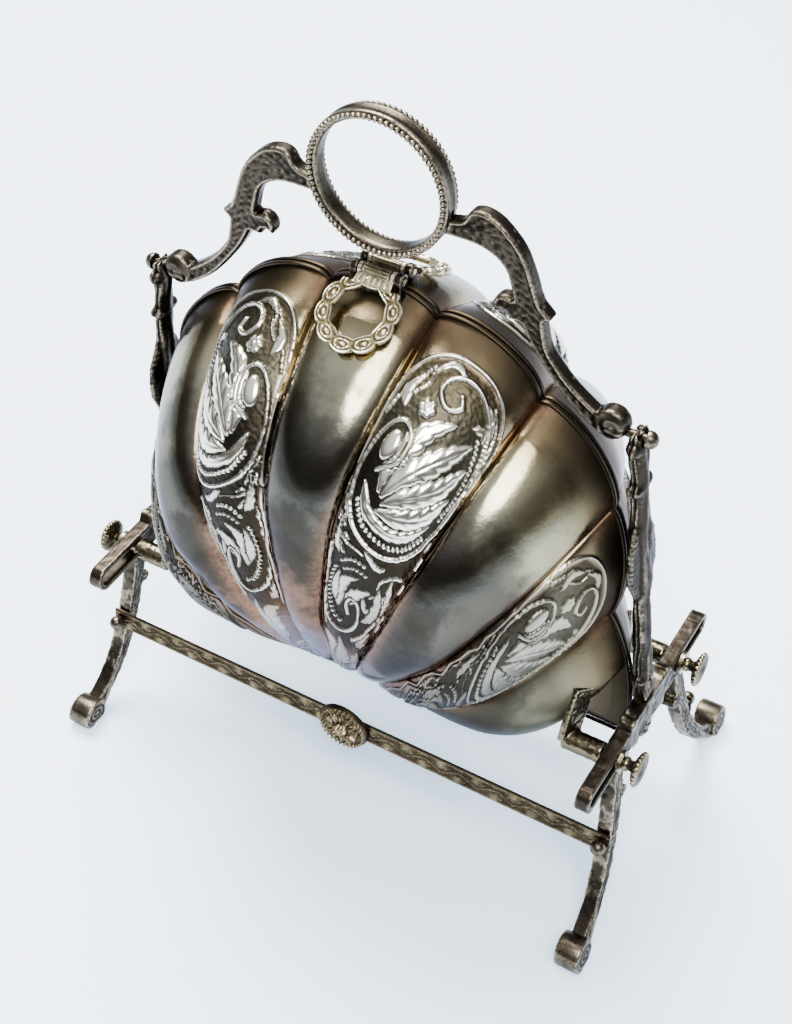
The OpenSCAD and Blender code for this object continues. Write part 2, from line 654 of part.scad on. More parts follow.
// Bush that carries a lug's screw along the slot, with a collar outside the bar
module slot_bush() {
    color(brassy) translate([0, -pin_y, pin_z]) difference() {
        union() {
            rod_x(bar_in - air, bar_out + air, 2 * bush_r);
            rod_x(bar_out + air, collar_out, collar_d);
        }
        rod_x(bar_in - 2 * air, collar_out + past, shank_d + 2 * turn_fit);
    }
}

// Thumb screw through the bush into the lug's barrel
thumb_neck_d = 5.4;
thumb_rim_t = 1.8;
module thumb_screw() {
    head = collar_out + air;
    color(brassy) translate([0, -pin_y, pin_z]) {
        rod_x(strap_x + strap_t, head + 1, shank_d);
        translate([head, 0, 0]) rotate([0, 90, 0]) rotate_extrude() polygon([
            [0, 0], [thumb_neck_d / 2, 0], [thumb_neck_d / 2, 1.4], [thumb_neck_d / 2 - 0.7, 2.4],
            [thumb_neck_d / 2 - 0.4, 3.6], [thumb_d / 2 - 0.5, thumb_len - thumb_rim_t - 1],
            [thumb_d / 2, thumb_len - thumb_rim_t - 0.5], [thumb_d / 2, thumb_len - 0.9],
            [thumb_d / 2 - 1, thumb_len - 0.4], [0, thumb_len]]);
    }
}

// Bracket on the crest of a shell: a foot and two ears for the pull ring's pin
ear_d = 5;
ear_in = pull_barrel_len / 2 + air;
bracket_bottom = 3.2;
bracket_y = rim_gap + wire_t + air;
module ring_bracket() {
    foot_z = rim_top_z - bracket_bottom;
    foot_top = pull_z - pull_barrel_d / 2 - 4 * air;
    color(gilt) difference() {
        union() {
            translate([-ear_in - ear_t, -pull_y - ear_d / 2, foot_z])
                cube([2 * (ear_in + ear_t), pull_y + ear_d / 2 - bracket_y, foot_top - foot_z]);
            for (s = [-1, 1]) side(s) {
                translate([ear_in, -pull_y - ear_d / 2, foot_z])
                    cube([ear_t, pull_y + ear_d / 2 - bracket_y, pull_z - foot_z]);
                translate([0, -pull_y, pull_z]) rod_x(ear_in, ear_in + ear_t, ear_d);
            }
        }
        translate([0, -pull_y, pull_z])
            rod_x(-ear_in - 2 * ear_t, ear_in + 2 * ear_t, hinge_pin_d + 2 * fixed_fit);
    }
}

// Pin of a pull ring's hinge
module ring_pin() {
    reach = ear_in + ear_t + air;
    color(gilt) translate([0, -pull_y, pull_z]) rod_x(-reach, reach, hinge_pin_d);
}

// Pull ring that lies on the shoulder of its shell, cut back beside the ears
pull_reach = pull_d / 2;
ear_room = 9;
module pull_ring() {
    color(gilt) translate([0, -pull_y, pull_z]) difference() {
        union() {
            rotate([pull_slope, 0, 0]) translate([0, -pull_reach, 0]) difference() {
                cylinder(d = pull_d, h = pull_t, center = true, $fn = 128);
                cylinder(d = pull_hole, h = 2 * pull_t, center = true, $fn = 128);
            }
            rod_x(-pull_barrel_len / 2, pull_barrel_len / 2, pull_barrel_d);
        }
        rod_x(-pull_barrel_len, pull_barrel_len, hinge_pin_d + 2 * turn_fit);
        for (s = [-1, 1]) side(s) rod_x(pull_barrel_len / 2, pull_d, ear_room);
    }
}

// Pierced grille that keeps the biscuits in their shell, hinged along the lower edge
barrel_room = 1.4;
grille_axis_z = rim_bottom_z + shell_wall + grille_barrel_d / 2 + barrel_room;
grille_bottom = grille_axis_z + grille_barrel_d / 2 + 2 * air;
// Lower edge of a grille, which climbs ahead of the bulge's lower edge towards the corners
grille_climb = 1.5;
foot_rise = 30;
foot_steps = 16;
grille_foot = [for (i = [-foot_steps : foot_steps]) let (x = valley_r[4] * i / foot_steps)
    [x, max(grille_bottom + max(0, abs(x) - corner_x - grille_barrel_d) * tan(foot_rise),
        mix(rim_bottom_z, bulge_bottom(x), grille_climb))]];
leaf_hole_len = 15;
leaf_hole_w = 6;
leaf_hole_step = 21;
leaf_hole_first = 30;
leaf_hole_edge = 4;
rib_middle = concat([0], [for (k = [1 : 4]) (valley_angle[k - 1] + min(valley_angle[k], 82)) / 2]);
module leaf_row(a, first) {
    last = rim_r(a) - grille_inset - leaf_hole_edge - leaf_hole_len / 2;
    for (r = [first : leaf_hole_step : last])
        translate([r * sin(a), rim_bottom_z + r * cos(a)]) rotate(-a) leaf(leaf_hole_len, leaf_hole_w);
}
module grille() {
    color(plated) difference() {
        union() {
            translate([0, -grille_y, 0]) front_sheet(grille_t) {
                difference() {
                    intersection() {
                        polygon(rim_outline(-grille_inset));
                        polygon(concat(grille_foot, [[valley_r[4], rim_top_z], [-valley_r[4], rim_top_z]]));
                    }
                    for (i = [0 : 4], s = [-1, 1]) if (i > 0 || s > 0) {
                        leaf_row(s * rib_middle[i], leaf_hole_first + (i == 4 ? 2 : i == 0 ? 14 : 8) + i);
                    }
                }
                translate([-grille_barrel_len / 2, grille_axis_z])
                    square([grille_barrel_len, grille_bottom - grille_axis_z + past]);
            }
            translate([0, -grille_y, grille_axis_z])
                rod_x(-grille_barrel_len / 2, grille_barrel_len / 2, grille_barrel_d);
        }
        translate([0, -grille_y, grille_axis_z])
            rod_x(-grille_barrel_len, grille_barrel_len, hinge_pin_d + 2 * turn_fit);
        translate([0, -grille_y, knob_z]) rotate([90, 0, 0])
            cylinder(d = knob_stud_d + 2 * fixed_fit, h = 4 * grille_t, center = true);
    }
}

// Small knob that lifts a grille
knob_stud_d = 2;
knob_h = 3;
module grille_knob() {
    color(gilt) translate([0, -grille_y + grille_t / 2 + fixed_fit, knob_z]) rotate([-90, 0, 0]) {
        rotate_extrude() polygon([[0, -grille_t], [knob_stud_d / 2, -grille_t], [knob_stud_d / 2, 1],
            [knob_d / 2, 1.6], [knob_d / 2, knob_h - 0.6], [knob_d / 2 - 0.8, knob_h], [0, knob_h]]);
    }
}

// Knuckles soldered inside the shell's lower edge, and the pin through them
module grille_knuckles() {
    start = grille_barrel_len / 2 + air;
    foot = rim_bottom_z + 1.1 * shell_wall;
    color(plated) for (s = [-1, 1]) side(s) translate([0, -grille_y, grille_axis_z]) difference() {
        union() {
            rod_x(start, start + knuckle_len, grille_barrel_d);
            translate([start, -grille_barrel_d / 2, foot - grille_axis_z])
                cube([knuckle_len, grille_barrel_d, grille_axis_z - foot]);
        }
        rod_x(start - past, start + knuckle_len + past, hinge_pin_d + 2 * fixed_fit);
    }
}
module grille_pin() {
    reach = grille_barrel_len / 2 + air + knuckle_len;
    color(brassy) translate([0, -grille_y, grille_axis_z]) rod_x(-reach, reach, hinge_pin_d);
}

side(-1) leg_frame();  // left_leg_frame
leg_frame();  // right_leg_frame
side(-1) upright();  // left_upright
upright();  // right_upright
side(-1) finial_screw();  // left_finial_screw
finial_screw();  // right_finial_screw
side(-1) handle_arm();  // left_handle_arm
handle_arm();  // right_handle_arm
handle_rivets();
handle_ring();
handle_ring_bead();  // handle_ring_front_bead
half(-1) handle_ring_bead();  // handle_ring_back_bead
stretcher();  // front_stretcher
half(-1) stretcher();  // back_stretcher
stretcher_rivets();
rosette();  // front_rosette
half(-1) rosette();  // back_rosette
shell();  // front_shell
rim_wire();  // front_rim_wire
side(-1) lug();  // front_left_lug
lug();  // front_right_lug
ring_bracket();  // front_ring_bracket
ring_pin();  // front_ring_pin
pull_ring();  // front_pull_ring
grille();  // front_grille
grille_knob();  // front_grille_knob
grille_knuckles();  // front_grille_knuckles
grille_pin();  // front_grille_pin
side(-1) slot_bush();  // front_left_slot_bush
slot_bush();  // front_right_slot_bush
side(-1) thumb_screw();  // front_left_thumb_screw
thumb_screw();  // front_right_thumb_screw
half(-1) shell();  // back_shell
half(-1) rim_wire();  // back_rim_wire
half(-1) side(-1) lug();  // back_left_lug
half(-1) lug();  // back_right_lug
half(-1) ring_bracket();  // back_ring_bracket
half(-1) ring_pin();  // back_ring_pin
half(-1) pull_ring();  // back_pull_ring
half(-1) grille();  // back_grille
half(-1) grille_knob();  // back_grille_knob
half(-1) grille_knuckles();  // back_grille_knuckles
half(-1) grille_pin();  // back_grille_pin
half(-1) side(-1) slot_bush();  // back_left_slot_bush
half(-1) slot_bush();  // back_right_slot_bush
half(-1) side(-1) thumb_screw();  // back_left_thumb_screw
half(-1) thumb_screw();  // back_right_thumb_screw
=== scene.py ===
"""Looks of the folding biscuit box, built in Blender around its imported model."""
import logging
import math
from dataclasses import dataclass, field
from enum import Enum
from typing import Any, Callable, Sequence

import bpy
import numpy as np
from mathutils import Matrix, Vector
from mathutils.kdtree import KDTree


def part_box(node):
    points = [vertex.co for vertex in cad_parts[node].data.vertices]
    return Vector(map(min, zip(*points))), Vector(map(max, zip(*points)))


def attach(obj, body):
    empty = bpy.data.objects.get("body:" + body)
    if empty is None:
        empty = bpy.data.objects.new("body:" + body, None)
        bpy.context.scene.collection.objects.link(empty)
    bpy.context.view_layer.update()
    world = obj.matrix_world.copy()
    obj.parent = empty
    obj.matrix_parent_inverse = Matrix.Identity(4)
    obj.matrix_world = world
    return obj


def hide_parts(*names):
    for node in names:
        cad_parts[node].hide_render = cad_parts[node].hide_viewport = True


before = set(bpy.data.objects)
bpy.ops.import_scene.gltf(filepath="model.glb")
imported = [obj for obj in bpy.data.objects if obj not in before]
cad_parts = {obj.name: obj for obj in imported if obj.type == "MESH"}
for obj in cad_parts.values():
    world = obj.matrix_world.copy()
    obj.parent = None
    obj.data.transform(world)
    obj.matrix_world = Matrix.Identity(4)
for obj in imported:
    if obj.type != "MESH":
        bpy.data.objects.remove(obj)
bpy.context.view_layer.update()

MM = 0.001
FULL_TURN = 2 * math.pi
log = logging.getLogger("biscuit_box")

Line = Sequence[Sequence[float]]
Face = Sequence[int]
Numbers = float | np.ndarray


class Way(Enum):
    """A side of the box, with its sign along an axis."""

    @property
    def word(self) -> str:
        """Name of the side as the nodes use it."""
        return self.name.lower()


class Half(Way):
    """The two halves of the box along Y."""

    FRONT = -1
    BACK = 1


class Side(Way):
    """The two ends of the box along X."""

    LEFT = -1
    RIGHT = 1


# Small tools for numbers and nodes


def turns(count: int) -> np.ndarray:
    """Angles of equal steps round a full turn."""
    return np.linspace(0, FULL_TURN, count, endpoint=False)


def rising(value: np.ndarray, start: Numbers, span: float) -> np.ndarray:
    """Share that grows from zero at start to one a span further on."""
    return np.clip((value - start) / span, 0, 1)


def falling(value: np.ndarray, end: float, span: float) -> np.ndarray:
    """Share that falls from one to zero at end, over a span."""
    return np.clip((end - value) / span, 0, 1)


def ridge(value: np.ndarray, middle: Numbers, width: Numbers) -> np.ndarray:
    """Soft ridge, one high at its middle."""
    return np.exp(-((value - middle) / width) ** 2)


def linear(code: str) -> tuple[float, float, float, float]:
    """Turns an sRGB hex colour into linear values.

    Args:
        code: Colour such as "#a09a8c".

    Returns:
        Linear red, green, blue and an alpha of one.
    """
    parts = [int(code[i:i + 2], 16) / 255 for i in (1, 3, 5)]
    low = [c / 12.92 if c <= 0.04045 else ((c + 0.055) / 1.055) ** 2.4 for c in parts]
    return low[0], low[1], low[2], 1.0


def per_size(size: float) -> float:
    """Texture scale of a pattern whose features are size mm wide."""
    return 1 / (size * MM)


# Settings that several nodes share, and the number of a colour mix's own output
ADD = {"operation": "ADD", "use_clamp": True}
TIMES = {"operation": "MULTIPLY", "use_clamp": True}
SMOOTH = {"interpolation_type": "SMOOTHSTEP"}
COLOURS = {"data_type": "RGBA"}
MIXED = 2


def add_node(tree: bpy.types.NodeTree, kind: str, settings: dict[str, Any] | None = None,
             inputs: dict[Any, Any] | None = None, out: int | str = 0) -> bpy.types.NodeSocket | None:
    """Adds a shader node with its settings and links.

    Args:
        tree: Node tree of a material or of the world.
        kind: Node kind without the leading "ShaderNode".
        settings: Attributes to set; "stops" gives a colour ramp its places and hex colours.
        inputs: Socket names or numbers, each with a value or with the socket to link from.
        out: Name or number of the output to hand back.

    Returns:
        That output's socket, or None for a node without outputs.
    """
    node = tree.nodes.new("ShaderNode" + kind)
    for name, value in (settings or {}).items():
        if name == "stops":
            ends = node.color_ramp.elements
            for element, (place, code) in zip((ends[0], ends[1]), (value[0], value[-1])):
                element.position, element.color = place, linear(code)
            for place, code in value[1:-1]:
                ends.new(place).color = linear(code)
        else:
            setattr(node, name, value)
    for key, value in (inputs or {}).items():
        if isinstance(value, bpy.types.NodeSocket):
            tree.links.new(value, node.inputs[key])
        else:
            node.inputs[key].default_value = value
    return node.outputs[out] if node.outputs else None


# Finishes


@dataclass(frozen=True)
class MetalFinish:
    """A metal with dark tarnish in its hollows and bright wear on what stands out.

    Sizes are in millimetres. The marks "hollow" and "raised" of a mesh steer the tarnish and the wear, and
    the ranges say between which values of a noise, or of the mesh's pointiness, each of them sets in.
    """

    name: str
    slot: str
    base: str
    tarnish: str
    worn: str
    smooth: float
    rough: float
    patch: float
    grain: float
    patchy: float
    grain_depth: float
    film: str = "#d6d6da"
    patch_range: tuple[float, float] = (0.42, 0.72)
    dip_range: tuple[float, float] = (0.5, 0.43)
    edge_range: tuple[float, float] = (0.51, 0.57)
    rubbed_range: tuple[float, float] = (0.25, 0.62)
    dip_share: float = 0.75
    edge_share: float = 0.8

    def material(self) -> bpy.types.Material:
        """Makes the material, once.

        Returns:
            The material.
        """
        made = bpy.data.materials.get(self.name)
        if not made:
            made = bpy.data.materials.new(self.name)
            made.use_nodes = True
            tree = made.node_tree
            tree.nodes.clear()
            shader = add_node(tree, "BsdfPrincipled", None, {
                "Metallic": 1.0, "Specular Tint": linear(self.film), **self.looks(tree)})
            add_node(tree, "OutputMaterial", None, {"Surface": shader})
        return made

    def looks(self, tree: bpy.types.NodeTree) -> dict[str, bpy.types.NodeSocket]:
        """Makes the nodes for colour, roughness and bump.

        Args:
            tree: The material's node tree.

        Returns:
            Sockets for the shader, by the names of its inputs.
        """
        place = add_node(tree, "TexCoord", out="Object")
        patches = add_node(tree, "TexNoise", None, {"Vector": place, "Scale": per_size(self.patch),
                                                    "Detail": 5.0, "Roughness": 0.6})
        fine = add_node(tree, "TexNoise", None, {"Vector": place, "Scale": per_size(self.grain),
                                                 "Detail": 3.0})
        hollow, raised = (add_node(tree, "Attribute", {"attribute_name": name}, out="Fac")
                          for name in ("hollow", "raised"))
        point = add_node(tree, "NewGeometry", out="Pointiness")
        stain, dips, edges, rubbed = (
            add_node(tree, "MapRange", SMOOTH, {0: source, 1: ends[0], 2: ends[1], 4: top})
            for source, ends, top in ((patches, self.patch_range, self.patchy),
                                      (point, self.dip_range, self.dip_share),
                                      (point, self.edge_range, self.edge_share),
                                      (fine, self.rubbed_range, 1.0)))
        dirt = add_node(tree, "Math", ADD, {0: stain, 1: dips})
        dark = add_node(tree, "Math", ADD, {0: dirt, 1: hollow})
        wear = add_node(tree, "Math", ADD, {0: edges, 1: raised})
        wear = add_node(tree, "Math", TIMES, {0: wear, 1: rubbed})
        colour = add_node(tree, "Mix", COLOURS, {0: dark, 6: linear(self.base), 7: linear(self.tarnish)},
                          MIXED)
        colour = add_node(tree, "Mix", COLOURS, {0: wear, 6: colour, 7: linear(self.worn)}, MIXED)
        rough = add_node(tree, "MapRange", None, {0: dark, 3: self.smooth, 4: self.rough})
        bump = add_node(tree, "Bump", None, {"Height": fine, "Strength": 0.5,
                                             "Distance": self.grain_depth * MM})
        return {"Base Color": colour, "Roughness": rough, "Normal": bump}


@dataclass(frozen=True)
class ShellPlate(MetalFinish):
    """Silver plate of the shells: tarnish and painted reflection run through its colours from the rim down.

    The mark "along" is the distance from the rim as a share of the shell's length, and "copper" is where the
    plate is rubbed through in the valleys. The bands drift and blot by shares of that length. They mix real
    tarnish with painted reflection: the pale band below the rim is a painted highlight, the dark band along
    the middle a painted reflection of a dark room, and the lilac and teal low down a painted reflection of a
    pale floor. On the shells the mark "hollow" also carries painted shade on the side ribs, and "raised" a
    painted highlight on the chased relief.
    """

    film: str = "#cdcdd4"
    patch_range: tuple[float, float] = (0.52, 0.72)
    rubbed_range: tuple[float, float] = (0.2, 0.75)
    copper: str = "#a97a5e"
    bands: tuple[tuple[float, str], ...] = (
        (0.0, "#362e22"), (0.03, "#453b2b"), (0.055, "#564b37"), (0.08, "#766b51"), (0.11, "#988e71"),
        (0.16, "#a09a80"), (0.21, "#666254"), (0.26, "#4e4b43"), (0.34, "#4d4a43"), (0.38, "#34322d"),
        (0.45, "#27251f"), (0.53, "#2f2a25"), (0.575, "#5f4a3e"), (0.63, "#766a70"), (0.72, "#7c7f95"),
        (0.85, "#7d919b"), (1.0, "#8f91a3"))
    drift: float = 0.34
    blot: float = 0.2
    steady_range: tuple[float, float] = (0.04, 0.3)
    satin_range: tuple[float, float] = (0.075, 0.035)
    satin_share: float = 0.9
    dent_depth: float = 0.3

    def looks(self, tree: bpy.types.NodeTree) -> dict[str, bpy.types.NodeSocket]:
        """Makes the nodes for colour, roughness and bump.

        Args:
            tree: The material's node tree.

        Returns:
            Sockets for the shader, by the names of its inputs.
        """
        place = add_node(tree, "TexCoord", out="Object")
        wide = add_node(tree, "TexNoise", None, {"Vector": place, "Scale": per_size(3 * self.patch),
                                                 "Detail": 4.0, "Roughness": 0.6})
        patches, specks = (
            add_node(tree, "TexNoise", {"noise_dimensions": "4D"}, {
                "Vector": place, "W": choice, "Scale": per_size(size), "Detail": detail, "Roughness": rough})
            for choice, size, detail, rough in ((3.0, self.patch, 6.0, 0.62), (7.0, self.grain, 4.0, 0.7)))
        marks = {name: add_node(tree, "Attribute", {"attribute_name": name}, out="Fac")
                 for name in ("hollow", "raised", "copper", "along")}
        steady, stain, rubbed, satin = (
            add_node(tree, "MapRange", SMOOTH, {0: source, 1: ends[0], 2: ends[1], 4: top})
            for source, ends, top in ((marks["along"], self.steady_range, 1.0),
                                      (patches, self.patch_range, self.patchy),
                                      (specks, self.rubbed_range, 1.0),
                                      (marks["along"], self.satin_range, self.satin_share)))
        drift, blot = (
            add_node(tree, "Math", {"operation": "MULTIPLY_ADD"}, {0: source, 1: span, 2: -span / 2})
            for source, span in ((wide, self.drift), (patches, self.blot)))
        shift = add_node(tree, "Math", {"operation": "ADD"}, {0: drift, 1: blot})
        shift = add_node(tree, "Math", {"operation": "MULTIPLY"}, {0: shift, 1: steady})
        where = add_node(tree, "Math", ADD, {0: marks["along"], 1: shift})
        bare = add_node(tree, "Math", TIMES, {0: marks["copper"], 1: rubbed})
        # Tarnish and painted reflection by distance from the rim
        colour = add_node(tree, "ValToRGB", {"stops": self.bands}, {0: where})
        # Mark "hollow" also carries painted shade, and "raised" also painted highlight
        for share, code in ((stain, self.base), (bare, self.copper), (marks["hollow"], self.tarnish),
                            (marks["raised"], self.worn)):
            colour = add_node(tree, "Mix", COLOURS, {0: share, 6: colour, 7: linear(code)}, MIXED)
        dull = add_node(tree, "Math", ADD, {0: stain, 1: marks["hollow"]})
        dull = add_node(tree, "Math", ADD, {0: dull, 1: satin})
        rough = add_node(tree, "MapRange", None, {0: dull, 3: self.smooth, 4: self.rough})
        dents = add_node(tree, "Bump", None, {"Height": patches, "Strength": 0.6,
                                              "Distance": self.dent_depth * MM})
        bump = add_node(tree, "Bump", None, {"Height": specks, "Strength": 0.3, "Normal": dents,
                                             "Distance": self.grain_depth * MM})
        return {"Base Color": colour, "Roughness": rough, "Normal": bump}


# Cast silver alloy under old plate: brown-grey and soft in gloss, black in the hollows, pale on rubbed edges
CAST_SILVER = MetalFinish("cast_silver_tarnished", "tarnished_silver", "#383129", "#13100c", "#978b75",
                          smooth=0.3, rough=0.5, patch=9.0, grain=0.9, patchy=0.5, grain_depth=0.04)
# Cast brass gone brown: dull, with yellow glints where the relief is rubbed
BROWN_BRASS = MetalFinish("brass_cast_browned", "tarnished_silver", "#675a43", "#2a2219", "#cbbb94",
                          smooth=0.25, rough=0.5, patch=7.0, grain=0.9, patchy=0.45, grain_depth=0.035)
# Silver plate on chased copper: near-mirror gloss, tarnish and painted reflection in bands, chased ground
# matted dark
SHELL_PLATE = ShellPlate("silver_plate_chased", "silver_plate", "#403b33", "#1f1a12", "#f6f0de",
                         smooth=0.15, rough=0.42, patch=11.0, grain=1.6, patchy=0.5, grain_depth=0.03)
# Silver plate left plain inside: even, a little duller than the outside
PLAIN_PLATE = MetalFinish("silver_plate_plain", "silver_plate", "#c2bba9", "#6d6455", "#e8e3d6",
                          smooth=0.16, rough=0.34, patch=14.0, grain=1.2, patchy=0.35, grain_depth=0.02)
# Cast brass with pale gilding: yellow-white where rubbed, brown in the hollows
PALE_GILT = MetalFinish("gilt_brass_cast", "pale_gilt", "#d5c69a", "#4d412b", "#f6eed2",
                        smooth=0.2, rough=0.45, patch=5.0, grain=0.8, patchy=0.3, grain_depth=0.03)
# Turned brass with the plate worn off: dull grey-brown
WORN_BRASS = MetalFinish("brass_turned_worn", "worn_brass", "#5f5643", "#241e15", "#b4a784",
                         smooth=0.22, rough=0.46, patch=6.0, grain=0.9, patchy=0.55, grain_depth=0.03)


# Meshes as plain arrays, in millimetres

# Cells of the noise before it repeats
NOISE_CELLS = 32
# Shares by which smoothing pulls points in, and pushes them back out so that the form keeps its size
PULL_IN, PUSH_OUT = 0.5, -0.52
# Most that relief darkens a hollow and brightens what stands out
DARKEST, BRIGHTEST = 0.85, 0.7
# Least length to divide by
TINY = 1e-9


@dataclass
class Form:
    """A mesh in millimetres, with marks between zero and one on its points."""

    points: np.ndarray
    faces: list[Face]
    marks: dict[str, np.ndarray] = field(default_factory=dict)

    def mirrored(self, axis: int) -> "Form":
        """Copies the form to the other side of a middle plane, with its faces turned back out.

        Args:
            axis: The axis that changes sign.

        Returns:
            The copy.
        """
        points = self.points.copy()
        points[:, axis] *= -1
        return Form(points, [tuple(reversed(f)) for f in self.faces], dict(self.marks))

    def placed(self, half: Half = Half.FRONT, side: Side = Side.RIGHT) -> "Form":
        """The form, which was made for the front and the right, or its mirror image for another place."""
        form = self if half is Half.FRONT else self.mirrored(1)
        return form if side is Side.RIGHT else form.mirrored(0)

    def joined(self, *others: "Form") -> "Form":
        """Joins this form and others.

        Args:
            others: The other forms.

        Returns:
            All of them as one mesh.
        """
        forms = (self, *others)
        faces: list[Face] = []
        start = 0
        for form in forms:
            faces += [tuple(i + start for i in f) for f in form.faces]
            start += len(form.points)
        names = sorted({n for form in forms for n in form.marks})
        marks = {n: np.concatenate([f.marks.get(n, np.zeros(len(f.points))) for f in forms]) for n in names}
        return Form(np.concatenate([f.points for f in forms]), faces, marks)


def quad_grid(rows: int, columns: int, start: int = 0, wrap: bool = False,
              around: bool = False) -> list[Face]:
    """Faces of a grid of points held row by row.

    Args:
        rows: Number of rows.
        columns: Number of points in a row.
        start: Number of the first point.
        wrap: Joins the ends of each row.
        around: Joins the last row to the first.

    Returns:
        Four-sided faces.
    """
    i = np.arange(rows if around else rows - 1)[:, None]
    j = np.arange(columns if wrap else columns - 1)[None, :]
    down, right = (i + 1) % rows, (j + 1) % columns
    corners = [i * columns + j, i * columns + right, down * columns + right, down * columns + j]
    stack = np.stack([np.broadcast_to(c, (i.shape[0], j.shape[1])) for c in corners], -1) + start
    return [tuple(f) for f in stack.reshape(-1, 4).tolist()]


def grain(points: np.ndarray, size: float, seed: int) -> np.ndarray:
    """Smooth noise over points.

    Args:
        points: Places in mm, one per row.
        size: Size of the noise's cells in mm.
        seed: Choice of the pattern.

    Returns:
        A value from minus one to one for each point.
    """
    table = np.random.default_rng(seed).random((NOISE_CELLS,) * 3) * 2 - 1
    scaled = points / size
    cell = np.floor(scaled).astype(int)
    part = scaled - cell
    part = part * part * (3 - 2 * part)
    total = np.zeros(len(points))
    for corner in np.ndindex(2, 2, 2):
        weight = np.prod([part[:, k] if corner[k] else 1 - part[:, k] for k in range(3)], axis=0)
        total += weight * table[tuple((cell[:, k] + corner[k]) % NOISE_CELLS for k in range(3))]
    return total


def outward(points: np.ndarray, faces: list[Face]) -> np.ndarray:
    """Directions in which the points of a closed mesh look.

    Args:
        points: The mesh's points.
        faces: Its faces, of which those with three and four sides count.

    Returns:
        A unit normal for each point.
    """
    normals = np.zeros_like(points)
    for sides in (3, 4):
        group = np.array([f for f in faces if len(f) == sides])
        if len(group):
            across = points[group[:, 2]] - points[group[:, 0]]
            other = points[group[:, sides - 1]] - points[group[:, 1 if sides == 4 else 0]]
            flat = np.cross(across, other)
            for k in range(sides):
                for axis in range(3):
                    normals[:, axis] += np.bincount(group[:, k], flat[:, axis], len(points))
    return normals / np.maximum(np.linalg.norm(normals, axis=1), TINY)[:, None]


def smooth_line(points: Line, steps: int = 10) -> np.ndarray:
    """Smooth line through given points.

    Args:
        points: The chosen points.
        steps: Steps to each stretch between two of them.

    Returns:
        The line's points, one per row.
    """
    p = np.array(points, float)
    p = np.concatenate([[2 * p[0] - p[1]], p, [2 * p[-1] - p[-2]]])
    t = (np.arange(steps) / steps)[:, None]
    out = []
    for a, b, c, d in zip(p[:-3], p[1:-2], p[2:-1], p[3:]):
        out.append(0.5 * (2 * b + (c - a) * t + (2 * a - 5 * b + 4 * c - d) * t ** 2
                          + (3 * b - a - 3 * c + d) * t ** 3))
    return np.concatenate(out + [p[-2:-1]])


def lathe(profile: Line, count: int,
          swell: Callable[[np.ndarray, np.ndarray], np.ndarray] | None = None) -> Form:
    """A turned form about the X axis.

    Args:
        profile: Pairs of x and radius, from end to end.
        count: Points round the axis.
        swell: Gives the change of radius from the turn's angle and x.

    Returns:
        The closed form.
    """
    line = np.array(profile, float)
    turn = turns(count)
    x, r = line[:, 0][:, None], line[:, 1][:, None]
    radius = r + (swell(turn[None, :], x) if swell else 0) + 0 * turn[None, :]
    points = np.stack([x + 0 * radius, radius * np.cos(turn), radius * np.sin(turn)], -1).reshape(-1, 3)
    faces = quad_grid(len(line), count, wrap=True)
    last = (len(line) - 1) * count
    faces += [tuple(range(count - 1, -1, -1)), tuple(range(last, last + count))]
    return Form(points, faces)


def add_object(name: str, data: bpy.types.ID) -> bpy.types.Object:
    """Adds an object with its data to the scene.

    Args:
        name: Name of the object.
        data: Its mesh, lamp or camera.

    Returns:
        The new object.
    """
    made = bpy.data.objects.new(name, data)
    bpy.context.scene.collection.objects.link(made)
    return made


def add_piece(name: str, form: Form, finish: MetalFinish, body: str, nodes: Sequence[str],
              sharp: float = 50.0) -> None:
    """Adds a finished piece to the scene.

    Args:
        name: Name of the piece.
        form: Its mesh in millimetres.
        finish: Its metal.
        body: The body that it rides on.
        nodes: The nodes that it stands for.
        sharp: Angle in degrees above which an edge stays sharp.
    """
    mesh = bpy.data.meshes.new(name)
    mesh.from_pydata((form.points * MM).tolist(), [], form.faces)
    mesh.update()
    for mark, values in form.marks.items():
        layer = mesh.attributes.new(mark, "FLOAT", "POINT")
        layer.data.foreach_set("value", np.clip(values, 0, 1).astype(np.float32))
    mesh.shade_smooth()
    mesh.set_sharp_from_angle(angle=math.radians(sharp))
    mesh.materials.append(finish.material())
    made = add_object(name, mesh)
    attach(made, body)
    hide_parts(*nodes)
    log.info("%s rides on %s, %d points", name, body, len(form.points))


def dress_nodes(finish: MetalFinish, *nodes: str) -> None:
    """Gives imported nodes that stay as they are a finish.

    Args:
        finish: Their metal.
        nodes: Their names.
    """
    for node in nodes:
        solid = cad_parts[node]
        solid.data.materials.clear()
        solid.data.materials.append(finish.material())
        log.info("%s keeps its solid, in %s", node, finish.name)


def casting(node: str, cell: float, rounds: int) -> Form:
    """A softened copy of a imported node, as a casting comes from its mould.

    Args:
        node: Name of the node.
        cell: Size of the copy's faces in mm.
        rounds: Rounds of smoothing.

    Returns:
        The copy's form, with only four-sided faces.
    """
    copy = add_object("casting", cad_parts[node].data.copy())
    voxels = copy.modifiers.new("voxels", "REMESH")
    voxels.mode = "VOXEL"
    voxels.voxel_size = cell * MM
    mesh = bpy.data.meshes.new_from_object(copy.evaluated_get(bpy.context.evaluated_depsgraph_get()))
    flat = np.zeros(3 * len(mesh.vertices))
    mesh.vertices.foreach_get("co", flat)
    pairs = np.zeros(2 * len(mesh.edges), int)
    mesh.edges.foreach_get("vertices", pairs)
    faces = [tuple(f.vertices) for f in mesh.polygons]
    bpy.data.objects.remove(copy)
    bpy.data.meshes.remove(mesh)
    points = flat.reshape(-1, 3) / MM
    ends = pairs.reshape(-1, 2)
    count = np.bincount(ends.ravel(), minlength=len(points))[:, None]
    for turn in range(2 * rounds):
        total = np.stack([np.bincount(ends[:, 0], points[ends[:, 1], k], len(points))
                          + np.bincount(ends[:, 1], points[ends[:, 0], k], len(points))
                          for k in range(3)], -1)
        points = points + (PULL_IN if turn % 2 == 0 else PUSH_OUT) * (total / np.maximum(count, 1) - points)
    return Form(points, faces)


